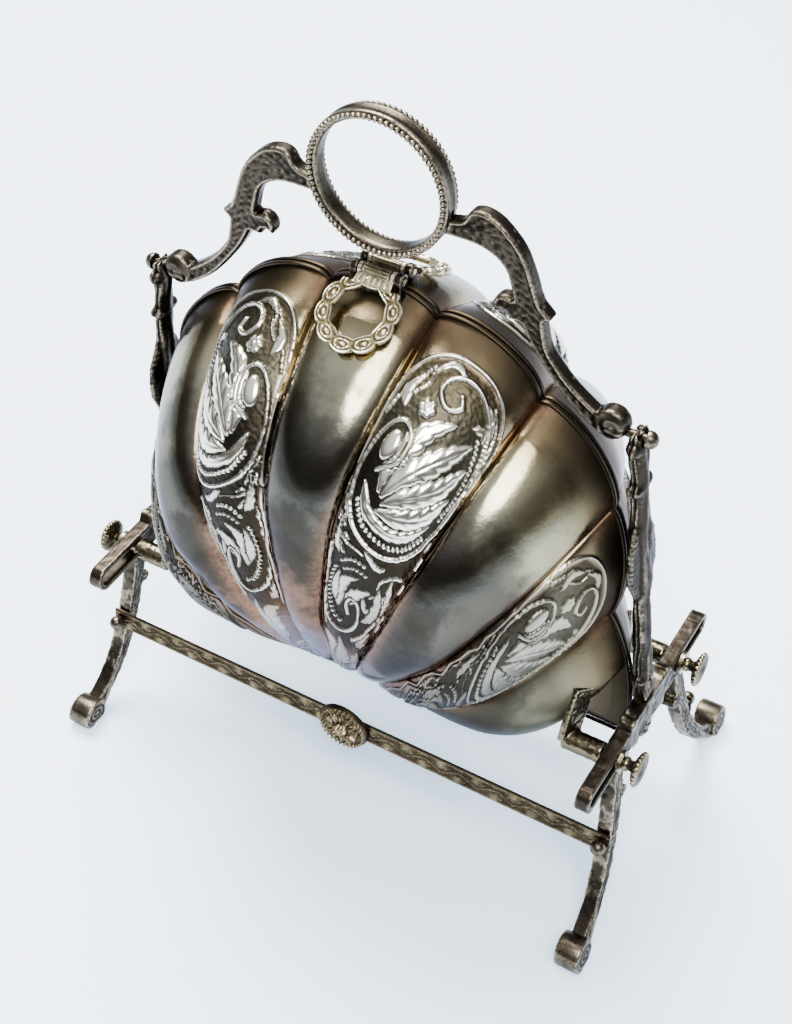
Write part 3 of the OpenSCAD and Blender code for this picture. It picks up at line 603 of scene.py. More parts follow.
def pressed(form: Form, rise: np.ndarray, low: float, high: float, strength: float = 1.0) -> Form:
    """Presses relief into a form, and marks its hollows and what stands out.

    Args:
        form: The form.
        rise: How far each point moves out, in mm.
        low: Rise below which a point lies in a hollow.
        high: Rise above which a point stands out.
        strength: Strength of the marks.

    Returns:
        The form with its relief.
    """
    points = form.points + outward(form.points, form.faces) * rise[:, None]
    marks = {"hollow": strength * np.clip((low - rise) / abs(low - high) * 2, 0, DARKEST),
             "raised": strength * np.clip((rise - high) / abs(low - high) * 2, 0, BRIGHTEST)}
    return Form(points, form.faces, marks)


def relaxed(form: Form, weight: np.ndarray, rounds: int) -> Form:
    """Evens out a form's points towards their neighbours.

    Args:
        form: A form with only four-sided faces.
        weight: How far each point moves in a round, from zero to one.
        rounds: Number of rounds.

    Returns:
        The evened form.
    """
    corners = np.array(form.faces)
    count = np.bincount(corners.ravel(), minlength=len(form.points))
    points = form.points
    for _ in range(rounds):
        middle = points[corners].mean(1)
        total = np.stack([sum(np.bincount(corners[:, k], middle[:, axis], len(points)) for k in range(4))
                          for axis in range(3)], -1)
        points = points + weight[:, None] * (total / np.maximum(count, 1)[:, None] - points)
    return Form(points, form.faces, form.marks)


def from_edge(form: Form, axis: int) -> tuple[np.ndarray, np.ndarray]:
    """Distance of the points of a flat casting from its outline.

    Args:
        form: The casting.
        axis: The axis that its flat faces look along.

    Returns:
        Distance in mm, zero on the edges, and how squarely each point looks along the axis.
    """
    square = np.abs(outward(form.points, form.faces)[:, axis])
    flat = np.delete(form.points, axis, 1)
    edge = np.nonzero(square < 0.5)[0]
    tree = KDTree(len(edge))
    for i in edge:
        tree.insert((*flat[i], 0.0), int(i))
    tree.balance()
    distance = np.array([tree.find((*spot, 0.0))[2] if s >= 0.5 else 0.0 for spot, s in zip(flat, square)])
    return distance, np.clip((square - 0.5) * 4, 0, 1)


def beside(path: np.ndarray, spots: np.ndarray) -> tuple[np.ndarray, np.ndarray]:
    """Distance along a line and signed distance beside it, for flat spots.

    Args:
        path: The line's points.
        spots: Flat places, one per row.

    Returns:
        Distance along the line to the nearest place on it, and distance from it, signed by side.
    """
    best = np.full(len(spots), np.inf)
    along, side = np.zeros(len(spots)), np.zeros(len(spots))
    start = 0.0
    for a, b in zip(path[:-1], path[1:]):
        step = b - a
        size = max(float(np.linalg.norm(step)), TINY)
        u = np.clip((spots - a) @ step / size ** 2, 0, 1)
        gap = spots - a - u[:, None] * step
        away = np.linalg.norm(gap, axis=1)
        closer = away < best
        best[closer] = away[closer]
        side[closer] = np.sign(step[0] * gap[closer, 1] - step[1] * gap[closer, 0])
        along[closer] = start + u[closer] * size
        start += size
    return along, best * side


# Shells


@dataclass
class ShellShape:
    """The fan-shaped surface of a shell, with the same sizes as its solid, in millimetres."""

    rim_bottom: float = 57.0
    valley_angle: tuple = (7, 22, 38.5, 56.5, 90)
    valley_r: tuple = (158.5, 150, 135, 103.8, 94.4)
    lobe_rise: tuple = (6, 7.5, 6, 2.7, 1.2)
    belly_z: float = 140.0
    belly_depth: float = 57.0
    shoulder_w: float = 60.0
    shoulder: float = 0.85
    flare: float = 2.0
    band_depth: float = 2.0
    band_step: float = 6.0
    corner_rise: float = 36.0
    corner_x: float = 55.0
    rib_relief: float = 5.5
    rib_round: float = 0.6
    wall: float = 1.2
    rim_gap: float = 0.4
    core_z: float = 136.0
    chased: tuple = (1, 3)
    panel_rise: float = 0.9
    panel_mid: float = 28.0
    panel_half: float = 24.0
    panel_share: float = 0.8

    def rib(self, angle: np.ndarray) -> np.ndarray:
        """Number of the rib that each fan angle falls in."""
        return np.minimum(np.sum(np.abs(angle)[..., None] > np.array(self.valley_angle) + 0.001, -1),
                          len(self.valley_angle) - 1)

    def across(self, angle: np.ndarray) -> np.ndarray:
        """Place across the rib.

        Args:
            angle: Fan angles in degrees.

        Returns:
            A value from minus one to one for each angle.
        """
        k = self.rib(angle)
        ends = np.array((0, *self.valley_angle), float)
        share = (np.abs(angle) - ends[k]) / (ends[k + 1] - ends[k])
        return np.where(k == 0, angle / self.valley_angle[0], 2 * share - 1)

    def crown(self, angle: np.ndarray) -> np.ndarray:
        """Height of the rib's round at each fan angle, from zero to one."""
        return np.maximum(0, 1 - self.across(angle) ** 2) ** self.rib_round

    def rim_r(self, angle: np.ndarray) -> np.ndarray:
        """Radius of the rim.

        Args:
            angle: Fan angles in degrees.

        Returns:
            The radius in mm at each angle.
        """
        k = self.rib(angle)
        radii = np.array((self.valley_r[0], *self.valley_r))
        base = radii[k] + (radii[k + 1] - radii[k]) * (self.across(angle) + 1) / 2
        return np.where(k == 0, self.valley_r[0], base) + np.array(self.lobe_rise)[k] * self.crown(angle)

    def bulge_bottom(self, x: np.ndarray) -> np.ndarray:
        """Height at which the bulge starts, for places along the box."""
        share = np.maximum(0, (np.abs(x) - self.corner_x) / (self.valley_r[-1] - self.corner_x))
        return self.rim_bottom + self.corner_rise * share ** 2

    def panel(self, in_from_rim: np.ndarray, angle: np.ndarray) -> np.ndarray:
        """Swelling of the chased ribs.

        Args:
            in_from_rim: Distance from the rim in mm.
            angle: Fan angles in degrees, of the same shape.

        Returns:
            The swelling in mm.
        """
        oval = 1 - (self.across(angle) / self.panel_share) ** 2
        oval = oval - ((in_from_rim - self.panel_mid) / self.panel_half) ** 2
        return self.panel_rise * np.maximum(0, oval) * np.isin(self.rib(angle), self.chased)

    def points(self, share: np.ndarray, angle: np.ndarray) -> np.ndarray:
        """Points of the front shell's outside.

        Args:
            share: Share of the way from the middle of the lower edge to the rim.
            angle: Fan angles in degrees, of the same shape.

        Returns:
            Places in mm, with a last axis of three.
        """
        r = self.rim_r(angle)
        x = share * r * np.sin(np.radians(angle))
        up = share * r * np.cos(np.radians(angle))
        z = self.rim_bottom + up
        in_from_rim = (1 - share) * r
        f1 = (1 - (1 - np.minimum(1, in_from_rim / self.shoulder_w)) ** 2) ** self.shoulder
        f1 = f1 * in_from_rim / (in_from_rim + self.flare)
        below = (self.belly_z - z) / (self.belly_z - self.bulge_bottom(x))
        f2 = np.where(z > self.belly_z, 1.0, np.sqrt(np.maximum(0, 1 - below ** 2)))
        f = np.where((f1 < 0.001) | (f2 < 0.001), 0.0,
                     (np.maximum(f1, 0.001) ** -4 + np.maximum(f2, 0.001) ** -4 - 1) ** -0.25)
        edge = np.minimum(in_from_rim, up)
        depth = (self.band_depth * rising(edge, 0, self.band_step)
                 + (self.belly_depth - self.band_depth) * f
                 + self.rib_relief * self.crown(angle) * np.sqrt(f) * np.minimum(1, 2.5 * share)
                 + self.panel(in_from_rim, angle))
        return np.stack([x, -self.rim_gap - depth, z], -1)

    def inside(self, points: np.ndarray) -> np.ndarray:
        """The same points moved in by the wall."""
        k = 1 - self.wall / (self.core_z - self.rim_bottom)
        return np.stack([points[..., 0] * k, np.minimum(-self.rim_gap, points[..., 1] + self.wall),
                         self.core_z + (points[..., 2] - self.core_z) * k], -1)

    def rim_outline(self, angles: np.ndarray, grow: float) -> np.ndarray:
        """Outline of the rim.

        Args:
            angles: Fan angles in degrees.
            grow: How far the outline moves out, in mm.

        Returns:
            Pairs of x and z.
        """
        r = self.rim_r(angles)
        p = np.stack([r * np.sin(np.radians(angles)), self.rim_bottom + r * np.cos(np.radians(angles))], -1)
        away = p - np.array([0, self.core_z])
        return p + away * grow / np.linalg.norm(away, axis=1)[:, None]


# The drawing on a chased rib, from the rim down. A place is a share of the rib's half width and a distance
# from the rim in mm; a leaf has its spine and its widest half.
TENDRILS = (
    [(-0.84, 70), (-0.68, 77), (-0.42, 81), (-0.1, 81.5)], [(-0.84, 82), (-0.6, 77.5), (-0.46, 79)],
    [(-0.5, 84.5), (-0.76, 76), (-0.7, 70)], [(-0.84, 64), (-0.7, 70.5), (-0.62, 75)],
    [(0.84, 74), (0.56, 79), (0.42, 85), (0.48, 90), (0.34, 94)],
    [(0.8, 84), (0.64, 88), (0.6, 96), (0.72, 101), (0.8, 97)],
    [(0.32, 121), (0.56, 113), (0.68, 104), (0.8, 92)], [(0.84, 34), (0.72, 22), (0.5, 16.5)],
    [(-0.84, 36), (-0.72, 26), (-0.5, 18)], [(-0.66, 30), (-0.48, 24), (-0.5, 19)])
SMALL_LEAVES = (
    ([(-0.62, 33), (-0.7, 27), (-0.56, 21)], 1.7), ([(0.36, 17.5), (0.58, 21), (0.7, 29)], 1.5),
    ([(0.4, 26), (0.54, 24.5), (0.62, 27)], 1.2), ([(-0.06, 16), (-0.3, 15), (-0.5, 20)], 1.3),
    ([(0.5, 87), (0.6, 94), (0.54, 102), (0.38, 107)], 1.9), ([(0.62, 79), (0.74, 86), (0.76, 95)], 1.4),
    ([(-0.6, 85), (-0.72, 79), (-0.74, 71)], 1.3), ([(0.24, 97), (0.34, 101), (0.46, 99)], 1.2),
    ([(-0.1, 79.5), (0.2, 81.5), (0.4, 79)], 1.3), ([(0.5, 122), (0.66, 116), (0.76, 107)], 1.5),
    ([(-0.7, 111), (-0.78, 118), (-0.6, 123)], 1.4))
FAN_LEAVES = (
    ([(-0.32, 60), (-0.27, 48), (-0.12, 37), (0.18, 29)], 3.9),
    ([(-0.24, 61), (0.0, 50), (0.26, 40), (0.52, 30)], 3.9),
    ([(-0.18, 63), (0.16, 56), (0.47, 47), (0.64, 36)], 3.5),
    ([(-0.22, 66), (0.14, 63.5), (0.48, 57), (0.68, 46)], 3.0))
CRESCENT = ([(-0.6, 59), (-0.36, 67.5), (0.06, 69.6), (0.42, 65), (0.66, 56)], 2.0)
SCROLL = [(-0.5, 54.5), (-0.28, 50), (-0.26, 42), (-0.42, 37.5), (-0.62, 38.5), (-0.78, 46), (-0.82, 58),
          (-0.64, 70), (-0.26, 77), (0.2, 77), (0.6, 69.5), (0.8, 57), (0.84, 44), (0.78, 32), (0.6, 23),
          (0.3, 17.6), (0, 16.2), (-0.22, 19), (-0.26, 24), (-0.08, 27.4), (0.09, 25), (0.03, 21.8)]
LOWER_LEAVES = (
    ([(-0.3, 109), (-0.38, 101), (-0.24, 95), (-0.02, 91.5)], 2.6),
    ([(-0.12, 107), (0, 100), (0.18, 95), (0.34, 92)], 2.1), ([(-0.42, 107), (-0.5, 99), (-0.46, 93)], 1.6))
LOWER_SCROLL = [(-0.84, 82), (-0.86, 96), (-0.8, 108), (-0.58, 117), (-0.2, 121), (0.14, 117.5), (0.3, 110),
                (0.2, 103), (0, 101.5), (-0.1, 106), (0, 109.5)]
ROOT_LEAVES = (
    ([(0, 154), (-0.14, 141), (-0.36, 131), (-0.7, 126)], 3.4),
    ([(0.1, 154), (0.42, 142), (0.64, 132), (0.6, 125)], 3.0),
    ([(0.05, 155), (0.14, 142), (0.1, 132), (-0.06, 125)], 3.2))
# Rows of beads round the fan of leaves and in the lower scroll, each with the beads' size and height in mm
FAN_BEADS = (([(-0.62, 64.5), (-0.32, 72.2), (0.1, 73.6), (0.45, 69.4), (0.68, 60)], 1.5, 0.7),
             ([(0.73, 53), (0.76, 44), (0.68, 34), (0.54, 27)], 1.2, 0.5))
LOWER_BEADS = (([(-0.6, 91), (-0.66, 100), (-0.58, 108.5), (-0.36, 114.5), (-0.08, 116)], 1.7, 0.75),
               ([(-0.5, 88.4), (-0.24, 85.4), (0.06, 84.6)], 1.5, 0.65),
               ([(-0.4, 91.6), (-0.16, 88.6), (0.16, 87.4)], 1.3, 0.55))


class Chasing:
    """Chased scroll foliage on one rib, drawn in millimetres across and along the rib.

    Lines are given as pairs of the share of the rib's half width and the distance from the rim. Each stroke
    lies over the ones before it, with a cut line round it.
    """

    cut: float = 0.4
    edge: float = 0.9
    top: float = 12.0
    ground_depth: float = 0.26
    stipple_depth: float = 0.12
    stipple_size: float = 0.75
    cut_height: float = 0.1
    cut_cover: float = 0.15
    vein_rows: int = 8
    vein_from: float = 155.0
    vein_step: float = 5.2

    def __init__(self, across: np.ndarray, along: np.ndarray, half: np.ndarray, stretch: float) -> None:
        """Keeps the rib's own coordinates.

        Args:
            across: Distance of each point from the rib's middle.
            along: Distance of each point from the rim.
            half: Half width of the rib at each point.
            stretch: Length of the pattern against its full length.
        """
        self.across, self.along, self.half = across.ravel(), along.ravel(), half.ravel()
        self.stretch = stretch
        self.shape = across.shape
        order = np.argsort(self.along)
        self.line_t, self.line_half = self.along[order][::50], self.half[order][::50]
        self.height = np.zeros(across.size)
        self.cover = np.zeros(across.size)

    def place(self, line: Line) -> np.ndarray:
        """Brings a line into the rib's own coordinates.

        Args:
            line: Pairs of half-width share and distance.

        Returns:
            The smooth line in mm.
        """
        path = smooth_line([(q, t * self.stretch) for q, t in line])
        half = np.interp(path[:, 1], self.line_t, self.line_half)
        return np.stack([path[:, 0] * half, path[:, 1]], -1)

    def near(self, path: np.ndarray, reach: float) -> tuple[np.ndarray, np.ndarray, np.ndarray, float]:
        """Points near a line.

        Args:
            path: The line in mm.
            reach: Largest distance that counts.

        Returns:
            The points' numbers, their share along the line, their signed distance from it, and its length.
        """
        lo, hi = path.min(0) - reach, path.max(0) + reach
        pick = np.nonzero((self.across > lo[0]) & (self.across < hi[0])
                          & (self.along > lo[1]) & (self.along < hi[1]))[0]
        along, gap = beside(path, np.stack([self.across[pick], self.along[pick]], -1))
        total = float(np.sum(np.linalg.norm(np.diff(path, axis=0), axis=1)))
        keep = np.abs(gap) < reach
        return pick[keep], along[keep] / total, gap[keep], total

    def lay(self, pick: np.ndarray, rise: np.ndarray, inside: np.ndarray, margin: np.ndarray) -> None:
        """Lays a stroke over what is there.

        Args:
            pick: Numbers of the points near the stroke.
            rise: Its height at them in mm.
            inside: Whether each lies within it.
            margin: Whether each lies in the cut line round it.
        """
        bare = pick[margin & ~inside]
        self.height[bare] *= self.cut_height
        self.cover[bare] *= self.cut_cover
        self.height[pick[inside]] = rise[inside]
        self.cover[pick[inside]] = 1.0

    def line(self, line: Line, width: float, rise: float, taper: float = 0.0) -> None:
        """A raised line.

        Args:
            line: Pairs of half-width share and distance.
            width: Its width in mm.
            rise: Its height in mm.
            taper: Share of the width that is lost towards the end.
        """
        pick, share, gap, _ = self.near(self.place(line), width / 2 + self.cut)
        own = width / 2 * (1 - taper * share)
        round_ = np.sqrt(np.clip(1 - (gap / own) ** 2, 0, 1))
        self.lay(pick, rise * round_, np.abs(gap) < own, np.abs(gap) < own + self.cut)

    def leaf(self, line: Line, width: float, rise: float, lobes: int) -> None:
        """A pointed leaf along a line, with a cut rib, veins and a lobed edge.

        Args:
            line: Its spine, as pairs of half-width share and distance.
            width: Its widest half in mm.
            rise: Its height in mm.
            lobes: Lobes on each side.
        """
        pick, share, gap, _ = self.near(self.place(line), width * 1.2 + self.cut)
        off = np.abs(gap)
        wave = np.abs(np.sin(math.pi * lobes * (share - 0.16 * off / width)))
        own = width * np.sin(math.pi * np.clip(share, 0.01, 0.995) ** 0.75) ** 0.75 * (0.84 + 0.2 * wave)
        inner = off / np.maximum(own, 0.03)
        body = np.clip(1 - inner ** 2.2, 0, 1) ** 0.55
        vein = 1 - 0.3 * ridge(gap, 0, 0.28) - 0.16 * (1 - wave) * np.minimum(1, off / (0.3 * width))
        swell = 0.7 + 0.3 * np.sin(math.pi * share)
        self.lay(pick, rise * body * vein * swell, inner < 1, off < own + self.cut)

    def beads(self, line: Line, size: float, rise: float) -> None:
        """A row of beads along a line.

        Args:
            line: Pairs of half-width share and distance.
            size: Width of a bead in mm.
            rise: Its height in mm.
        """
        pick, share, gap, total = self.near(self.place(line), size / 2 + self.cut)
        count = max(2, round(total / (size * 1.22)))
        along = ((share * count) % 1 - 0.5) * total / count
        ball = np.clip(1 - (along ** 2 + gap ** 2) / (size / 2) ** 2, 0, 1)
        self.lay(pick, rise * np.sqrt(ball), ball > 0, np.ones(len(pick), bool))

    def boss(self, q: float, t: float, wide: float, long: float, rise: float, petals: int = 0) -> None:
        """A smooth oval boss, or a small flower.

        Args:
            q: Its place as a share of the half width.
            t: Its distance from the rim.
            wide: Its half width in mm.
            long: Its half length in mm.
            rise: Its height in mm.
            petals: Number of petals, or zero for a smooth boss.
        """
        x, y = self.place([(q, t - 0.1), (q, t + 0.1)])[0]
        u, v = (self.across - x) / wide, (self.along - y) / long
        r = np.hypot(u, v)
        edge = 0.72 + 0.28 * np.abs(np.cos(petals / 2 * np.arctan2(v, u))) if petals else np.ones(len(r))
        pick = np.nonzero(r < 1 + self.cut / wide)[0]
        inner = r[pick] / edge[pick]
        body = np.sqrt(np.clip(1 - inner ** 2, 0, 1))
        dip = 1 - (0.5 * ridge(inner, 0.42, 0.12) if petals else 0)
        self.lay(pick, rise * body * dip, inner < 1, np.ones(len(pick), bool))

    def medallion(self) -> None:
        """Draws the fan of leaves, its beads, boss and flower, and the scroll round them."""
        for spine, width in FAN_LEAVES:
            self.leaf(spine, width, rise=0.85, lobes=6)
        self.leaf(*CRESCENT, rise=0.7, lobes=9)
        for row in FAN_BEADS:
            self.beads(*row)
        self.boss(-0.5, 46, wide=2.9, long=5.0, rise=0.95)
        self.boss(-0.3, 31, wide=3.0, long=3.2, rise=0.7, petals=6)
        self.line(SCROLL, width=1.2, rise=0.7)

    def below_medallion(self) -> None:
        """Draws the lower scroll with its beads and leaves, and the leaves and veins at the root."""
        for row in LOWER_BEADS:
            self.beads(*row)
        for spine, width in LOWER_LEAVES:
            self.leaf(spine, width, rise=0.65, lobes=4)
        self.line(LOWER_SCROLL, width=1.15, rise=0.65)
        for spine, width in ROOT_LEAVES:
            self.leaf(spine, width, rise=0.5, lobes=5)
        for k in range(self.vein_rows):
            t = self.vein_from + self.vein_step * k
            for s in (-1, 1):
                self.line([(0.04 * s, t + 4), (0.4 * s, t), (0.74 * s, t - 5 + k % 2)], 0.9, 0.22, 0.4)
                self.line([(0.3 * s, t + 2.4), (0.5 * s, t + 1), (0.66 * s, t - 2)], 0.7, 0.16, 0.4)

    def draw(self) -> tuple[np.ndarray, np.ndarray, np.ndarray]:
        """Draws the whole pattern of a rib.

        Returns:
            Height in mm, dark ground and bright relief, each in the rib's own grid; the relief's
            wear carries a painted highlight, strongest high on the rib and fading further down.
        """
        edge, top = self.edge, self.top
        for tendril in TENDRILS:
            self.line(tendril, width=1.1, rise=0.5, taper=0.6)
        for spine, width in SMALL_LEAVES:
            self.leaf(spine, width, rise=0.5, lobes=4)
        self.medallion()
        self.below_medallion()
        side = [(edge * 0.42, top + 0.6), (edge * 0.8, top + 6), (edge, top + 18), (edge, 60), (edge, 110),
                (edge, 200)]
        arch = [(-q, t) for q, t in reversed(side)] + [(0, top - 0.6)] + side
        self.line(arch, width=1.1, rise=0.55)
        q, t = self.across / self.half, self.along / self.stretch
        arch_t = np.interp(np.abs(q), [0, 0.36, 0.72, edge], [top, top + 0.6, top + 6, top + 18])
        inside = np.clip((edge - np.abs(q)) * 12, 0, 1) * rising(t, arch_t, 1.5)
        fade = np.interp(t, [118, 132, 170], [1.0, 0.5, 0.22])
        stipple = grain(np.stack([self.across, self.along, 0 * t], -1), self.stipple_size, 11)
        bare = inside * (1 - self.cover)
        height = self.height - bare * fade * (self.ground_depth + self.stipple_depth * stipple)
        # Wear on the relief with painted highlight: brightest high on the rib, dimmer further down
        wear_and_painted_highlight = rising(self.height, 0, 0.6) * np.interp(t, [74, 96, 160], [0.95, 0.46, 0.26])
        low = np.clip(1 - self.height / 0.4, 0, 1) * self.cover * 0.5
        return tuple(v.reshape(self.shape) for v in (height, (bare * 0.86 + low * inside) * fade, wear_and_painted_highlight))


@dataclass
class Shell:
    """The two ribbed shells with their rim wires, lugs and ring brackets, in millimetres.

    The inside takes the marks "raised" and "along" of bright plate. On the third rib the pattern is shorter
    and its relief is painted less bright, as shade. On the side ribs the mark "hollow" also carries painted
    shade.
    """

    shape: ShellShape = field(default_factory=ShellShape)
    chased_columns: int = 92
    plain_columns: int = 22
    fine_step: float = 0.42
    coarse_step: float = 1.3
    fine_length: float = 160.0
    mark_length: float = 215.0
    inner_levels: int = 46
    inner_marks: dict[str, float] = field(default_factory=lambda: {"raised": 0.5, "along": 0.16})
    stretch: dict[int, float] = field(default_factory=lambda: {1: 1.0, 3: 0.86})
    shine: dict[int, float] = field(default_factory=lambda: {1: 1.0, 3: 0.24})
    beat_size: float = 7.0
    beat_depth: float = 0.07
    beat_run: float = 12.0
    wire_w: float = 0.8
    wire_t: float = 1.6
    wire_steps: int = 24

    def angles(self) -> np.ndarray:
        """Fan angles of one side.

        Returns:
            Angles in degrees, from the middle to the lower edge.
        """
        ends = (0, *self.shape.valley_angle)
        lowest = len(ends) - 2
        out: list[np.ndarray] = []
        for k, (low, high) in enumerate(zip(ends, ends[1:])):
            count = self.plain_columns * (3 if k == lowest else 1)
            if k in self.shape.chased:
                count = self.chased_columns
            t = np.arange(count) / count
            if k == 0:
                t = np.arange(count // 2) / (count // 2)
            elif k == lowest:
                t = 1 - (1 - t) ** 1.5
            out.append(low + (high - low) * t)
        return np.concatenate([*out, ends[-1:]])

    def levels(self) -> np.ndarray:
        """Shares from the rim down, measured along the middle of the first chased rib.

        Returns:
            The shares, close together over the chased part.
        """
        s = np.linspace(1, 0, 4001)
        line = self.shape.points(s, np.full_like(s, sum(self.shape.valley_angle[:2]) / 2))
        t = np.concatenate([[0], np.cumsum(np.linalg.norm(np.diff(line, axis=0), axis=1))])
        fine = np.arange(0, self.fine_length, self.fine_step)
        coarse = np.arange(self.fine_length, t[-1] - 0.5, self.coarse_step)
        return np.interp(np.concatenate([fine, coarse]), t, s)

    def rubbed(self, angle: np.ndarray, share: np.ndarray, along: np.ndarray) -> np.ndarray:
        """Where the plate is rubbed through to the copper along the valleys.

        Args:
            angle: Fan angles of the columns.
            share: Shares of the levels.
            along: Distance from the rim, by level and angle.

        Returns:
            The mark "copper" by level and angle.
        """
        valley = np.min(np.abs(np.abs(angle)[:, None] - np.array(self.shape.valley_angle[:-1])), -1)[None, :]
        gap = valley * np.pi / 180 * share[:, None] * self.shape.rim_r(angle)[None, :]
        wide = np.interp(along, [0, 14, 40, 110, 190], [5.5, 4.0, 2.6, 3.6, 3.0])
        strength = np.interp(along, [2, 16, 40, 110, 190], [0.34, 0.22, 0.3, 0.65, 0.4])
        return ridge(gap, 0, wide) * strength * np.interp(angle, [10, 34, 50], [0.7, 1.0, 1.25])[None, :]

    def half_skin(self) -> tuple[np.ndarray, dict[str, np.ndarray], np.ndarray]:
        """Outside of the front shell's right side, with its chased relief.

        Returns:
            Points by level and angle, their marks, and the plain points under the relief.
        """
        angle, share = self.angles(), self.levels()
        grid_s, grid_a = np.meshgrid(share, angle, indexing="ij")
        plain = self.shape.points(grid_s, grid_a)
        along = np.concatenate([np.zeros((1, len(angle))),
                                np.cumsum(np.linalg.norm(np.diff(plain, axis=0), axis=2), axis=0)])
        over = np.concatenate([np.zeros((len(share), 1)),
                               np.cumsum(np.linalg.norm(np.diff(plain, axis=1), axis=2), axis=1)], axis=1)
        height, hollow, raised = (np.zeros(grid_s.shape) for _ in range(3))
        for k in self.shape.chased:
            ends = self.shape.valley_angle[k - 1:k + 1]
            pick = np.nonzero((angle >= ends[0]) & (angle <= ends[1]))[0]
            cut = slice(pick[0], pick[-1] + 1)
            half = (over[:, cut][:, -1:] - over[:, cut][:, :1]) / 2
            across = over[:, cut] - over[:, cut][:, :1] - half
            drawing = Chasing(across, along[:, cut], half + 0 * across, self.stretch[k])
            height[:, cut], hollow[:, cut], raised[:, cut] = drawing.draw()
            # Painted shade: the third rib's relief is dimmed
            raised[:, cut] *= self.shine[k]
        # Painted shade: the side ribs darkened along their middle length, carried in the mark "hollow"
        painted_side_shade = np.interp(grid_a, [30, 42, 60, 74], [0, 0.62, 0.74, 0.68])
        painted_side_shade = painted_side_shade * np.interp(along, [8, 30, 110, 150], [0.2, 1, 1, 0.2])
        normal = np.cross(np.gradient(plain, axis=1), np.gradient(plain, axis=0))
        normal /= np.maximum(np.linalg.norm(normal, axis=2), TINY)[..., None]
        normal *= np.where(normal[..., 1:2] > 0, -1, 1)
        beat = (grain(plain.reshape(-1, 3), self.beat_size, 3) * self.beat_depth).reshape(grid_s.shape)
        beat = beat * rising(along, 0, self.beat_run)
        marks = {"hollow": np.maximum(hollow, painted_side_shade), "raised": raised,
                 "copper": self.rubbed(angle, share, along), "along": along / self.mark_length}
        return plain + normal * (height + beat)[..., None], marks, plain

    def skin(self) -> Form:
        """Makes the whole front shell.

        Returns:
            One closed form: outside, inside, rim and lower edge.
        """
        right, marks, plain = self.half_skin()
        turn = np.array([-1.0, 1, 1])
        outer = np.concatenate([(right * turn)[:, :0:-1], right], axis=1)
        bare = np.concatenate([(plain * turn)[:, :0:-1], plain], axis=1)
        marks = {n: np.concatenate([m[:, :0:-1], m], axis=1).ravel() for n, m in marks.items()}
        levels, columns = outer.shape[:2]
        rows = np.unique(np.round(np.linspace(0, levels - 1, self.inner_levels)).astype(int))
        inner = self.shape.inside(bare[rows])
        tip = np.array([[0, -self.shape.rim_gap, self.shape.rim_bottom]])
        count = levels * columns
        points = np.concatenate([outer.reshape(-1, 3), tip, inner.reshape(-1, 3), self.shape.inside(tip)])
        faces = quad_grid(levels, columns)
        last = (levels - 1) * columns
        faces += [(last + i, last + i + 1, count) for i in range(columns - 1)]
        start = count + 1
        faces += [tuple(reversed(f)) for f in quad_grid(len(rows), columns, start)]
        end = start + (len(rows) - 1) * columns
        inner_tip = start + len(rows) * columns
        faces += [(end + i + 1, end + i, inner_tip) for i in range(columns - 1)]
        faces += [(i + 1, i, start + i, start + i + 1) for i in range(columns - 1)]
        for column, flip in ((0, False), (columns - 1, True)):
            edge = [i * columns + column for i in range(levels)] + [count]
            back = [start + i * columns + column for i in range(len(rows))] + [inner_tip]
            for k, row in enumerate(rows):
                low = rows[k + 1] if k + 1 < len(rows) else levels
                face = edge[row:low + 1] + [back[k + 1], back[k]]
                faces.append(tuple(face if not flip else reversed(face)))
        extra = len(points) - count
        return Form(points, faces, {n: np.concatenate([m, np.full(extra, self.inner_marks.get(n, 0.0))])
                                    for n, m in marks.items()})

    def wire(self) -> Form:
        """Makes the wire round the rim of the front shell.

        Returns:
            The wire, with rounded edges.
        """
        ends = self.shape.valley_angle
        half = np.concatenate([np.linspace(a, b, self.wire_steps, endpoint=False)
                               for a, b in zip((0, *ends[:-1]), ends)] + [ends[-1:]])
        angles = np.concatenate([-half[:0:-1], half])
        section = ((0.02, 0.0), (0.7, 0.0), (1.0, 0.25), (1.0, 0.75), (0.7, 1.0), (0.02, 1.0))
        rows = []
        for out, deep in section:
            line = self.shape.rim_outline(angles, out * self.wire_w)
            y = np.full((len(line), 1), -self.shape.rim_gap - deep * self.wire_t)
            rows.append(np.concatenate([line[:, :1], y, line[:, 1:]], axis=1))
        return Form(np.concatenate(rows), quad_grid(len(section), len(angles), wrap=True, around=True))

    def worked(self, node: str, cell: float, depth: float, rounds: int = 10) -> Form:
        """A softened copy of a small soldered piece, with file marks of some depth in mm."""
        form = casting(node, cell, rounds)
        return pressed(form, depth * grain(form.points, 1.2, 21), -0.6 * depth, 0.5 * depth)

    def build(self) -> None:
        """Adds the shells, wires, lugs and brackets of both halves."""
        skin, wire = self.skin(), self.wire()
        lug = self.worked("front_right_lug", cell=0.4, depth=0.12, rounds=26)
        bracket = self.worked("front_ring_bracket", cell=0.28, depth=0.05)
        for half in Half:
            word, body = half.word, half.word + "_half"
            add_piece(f"{word}_shell_skin", skin.placed(half), SHELL_PLATE, body, [f"{word}_shell"], 70)
            add_piece(f"{word}_rim_edge", wire.placed(half), SHELL_PLATE, body, [f"{word}_rim_wire"])
            add_piece(f"{word}_bracket_casting", bracket.placed(half), CAST_SILVER, body,
                      [f"{word}_ring_bracket"])
            for side in Side:
                add_piece(f"{word}_{side.word}_lug_casting", lug.placed(half, side), WORN_BRASS, body,
                          [f"{word}_{side.word}_lug"])


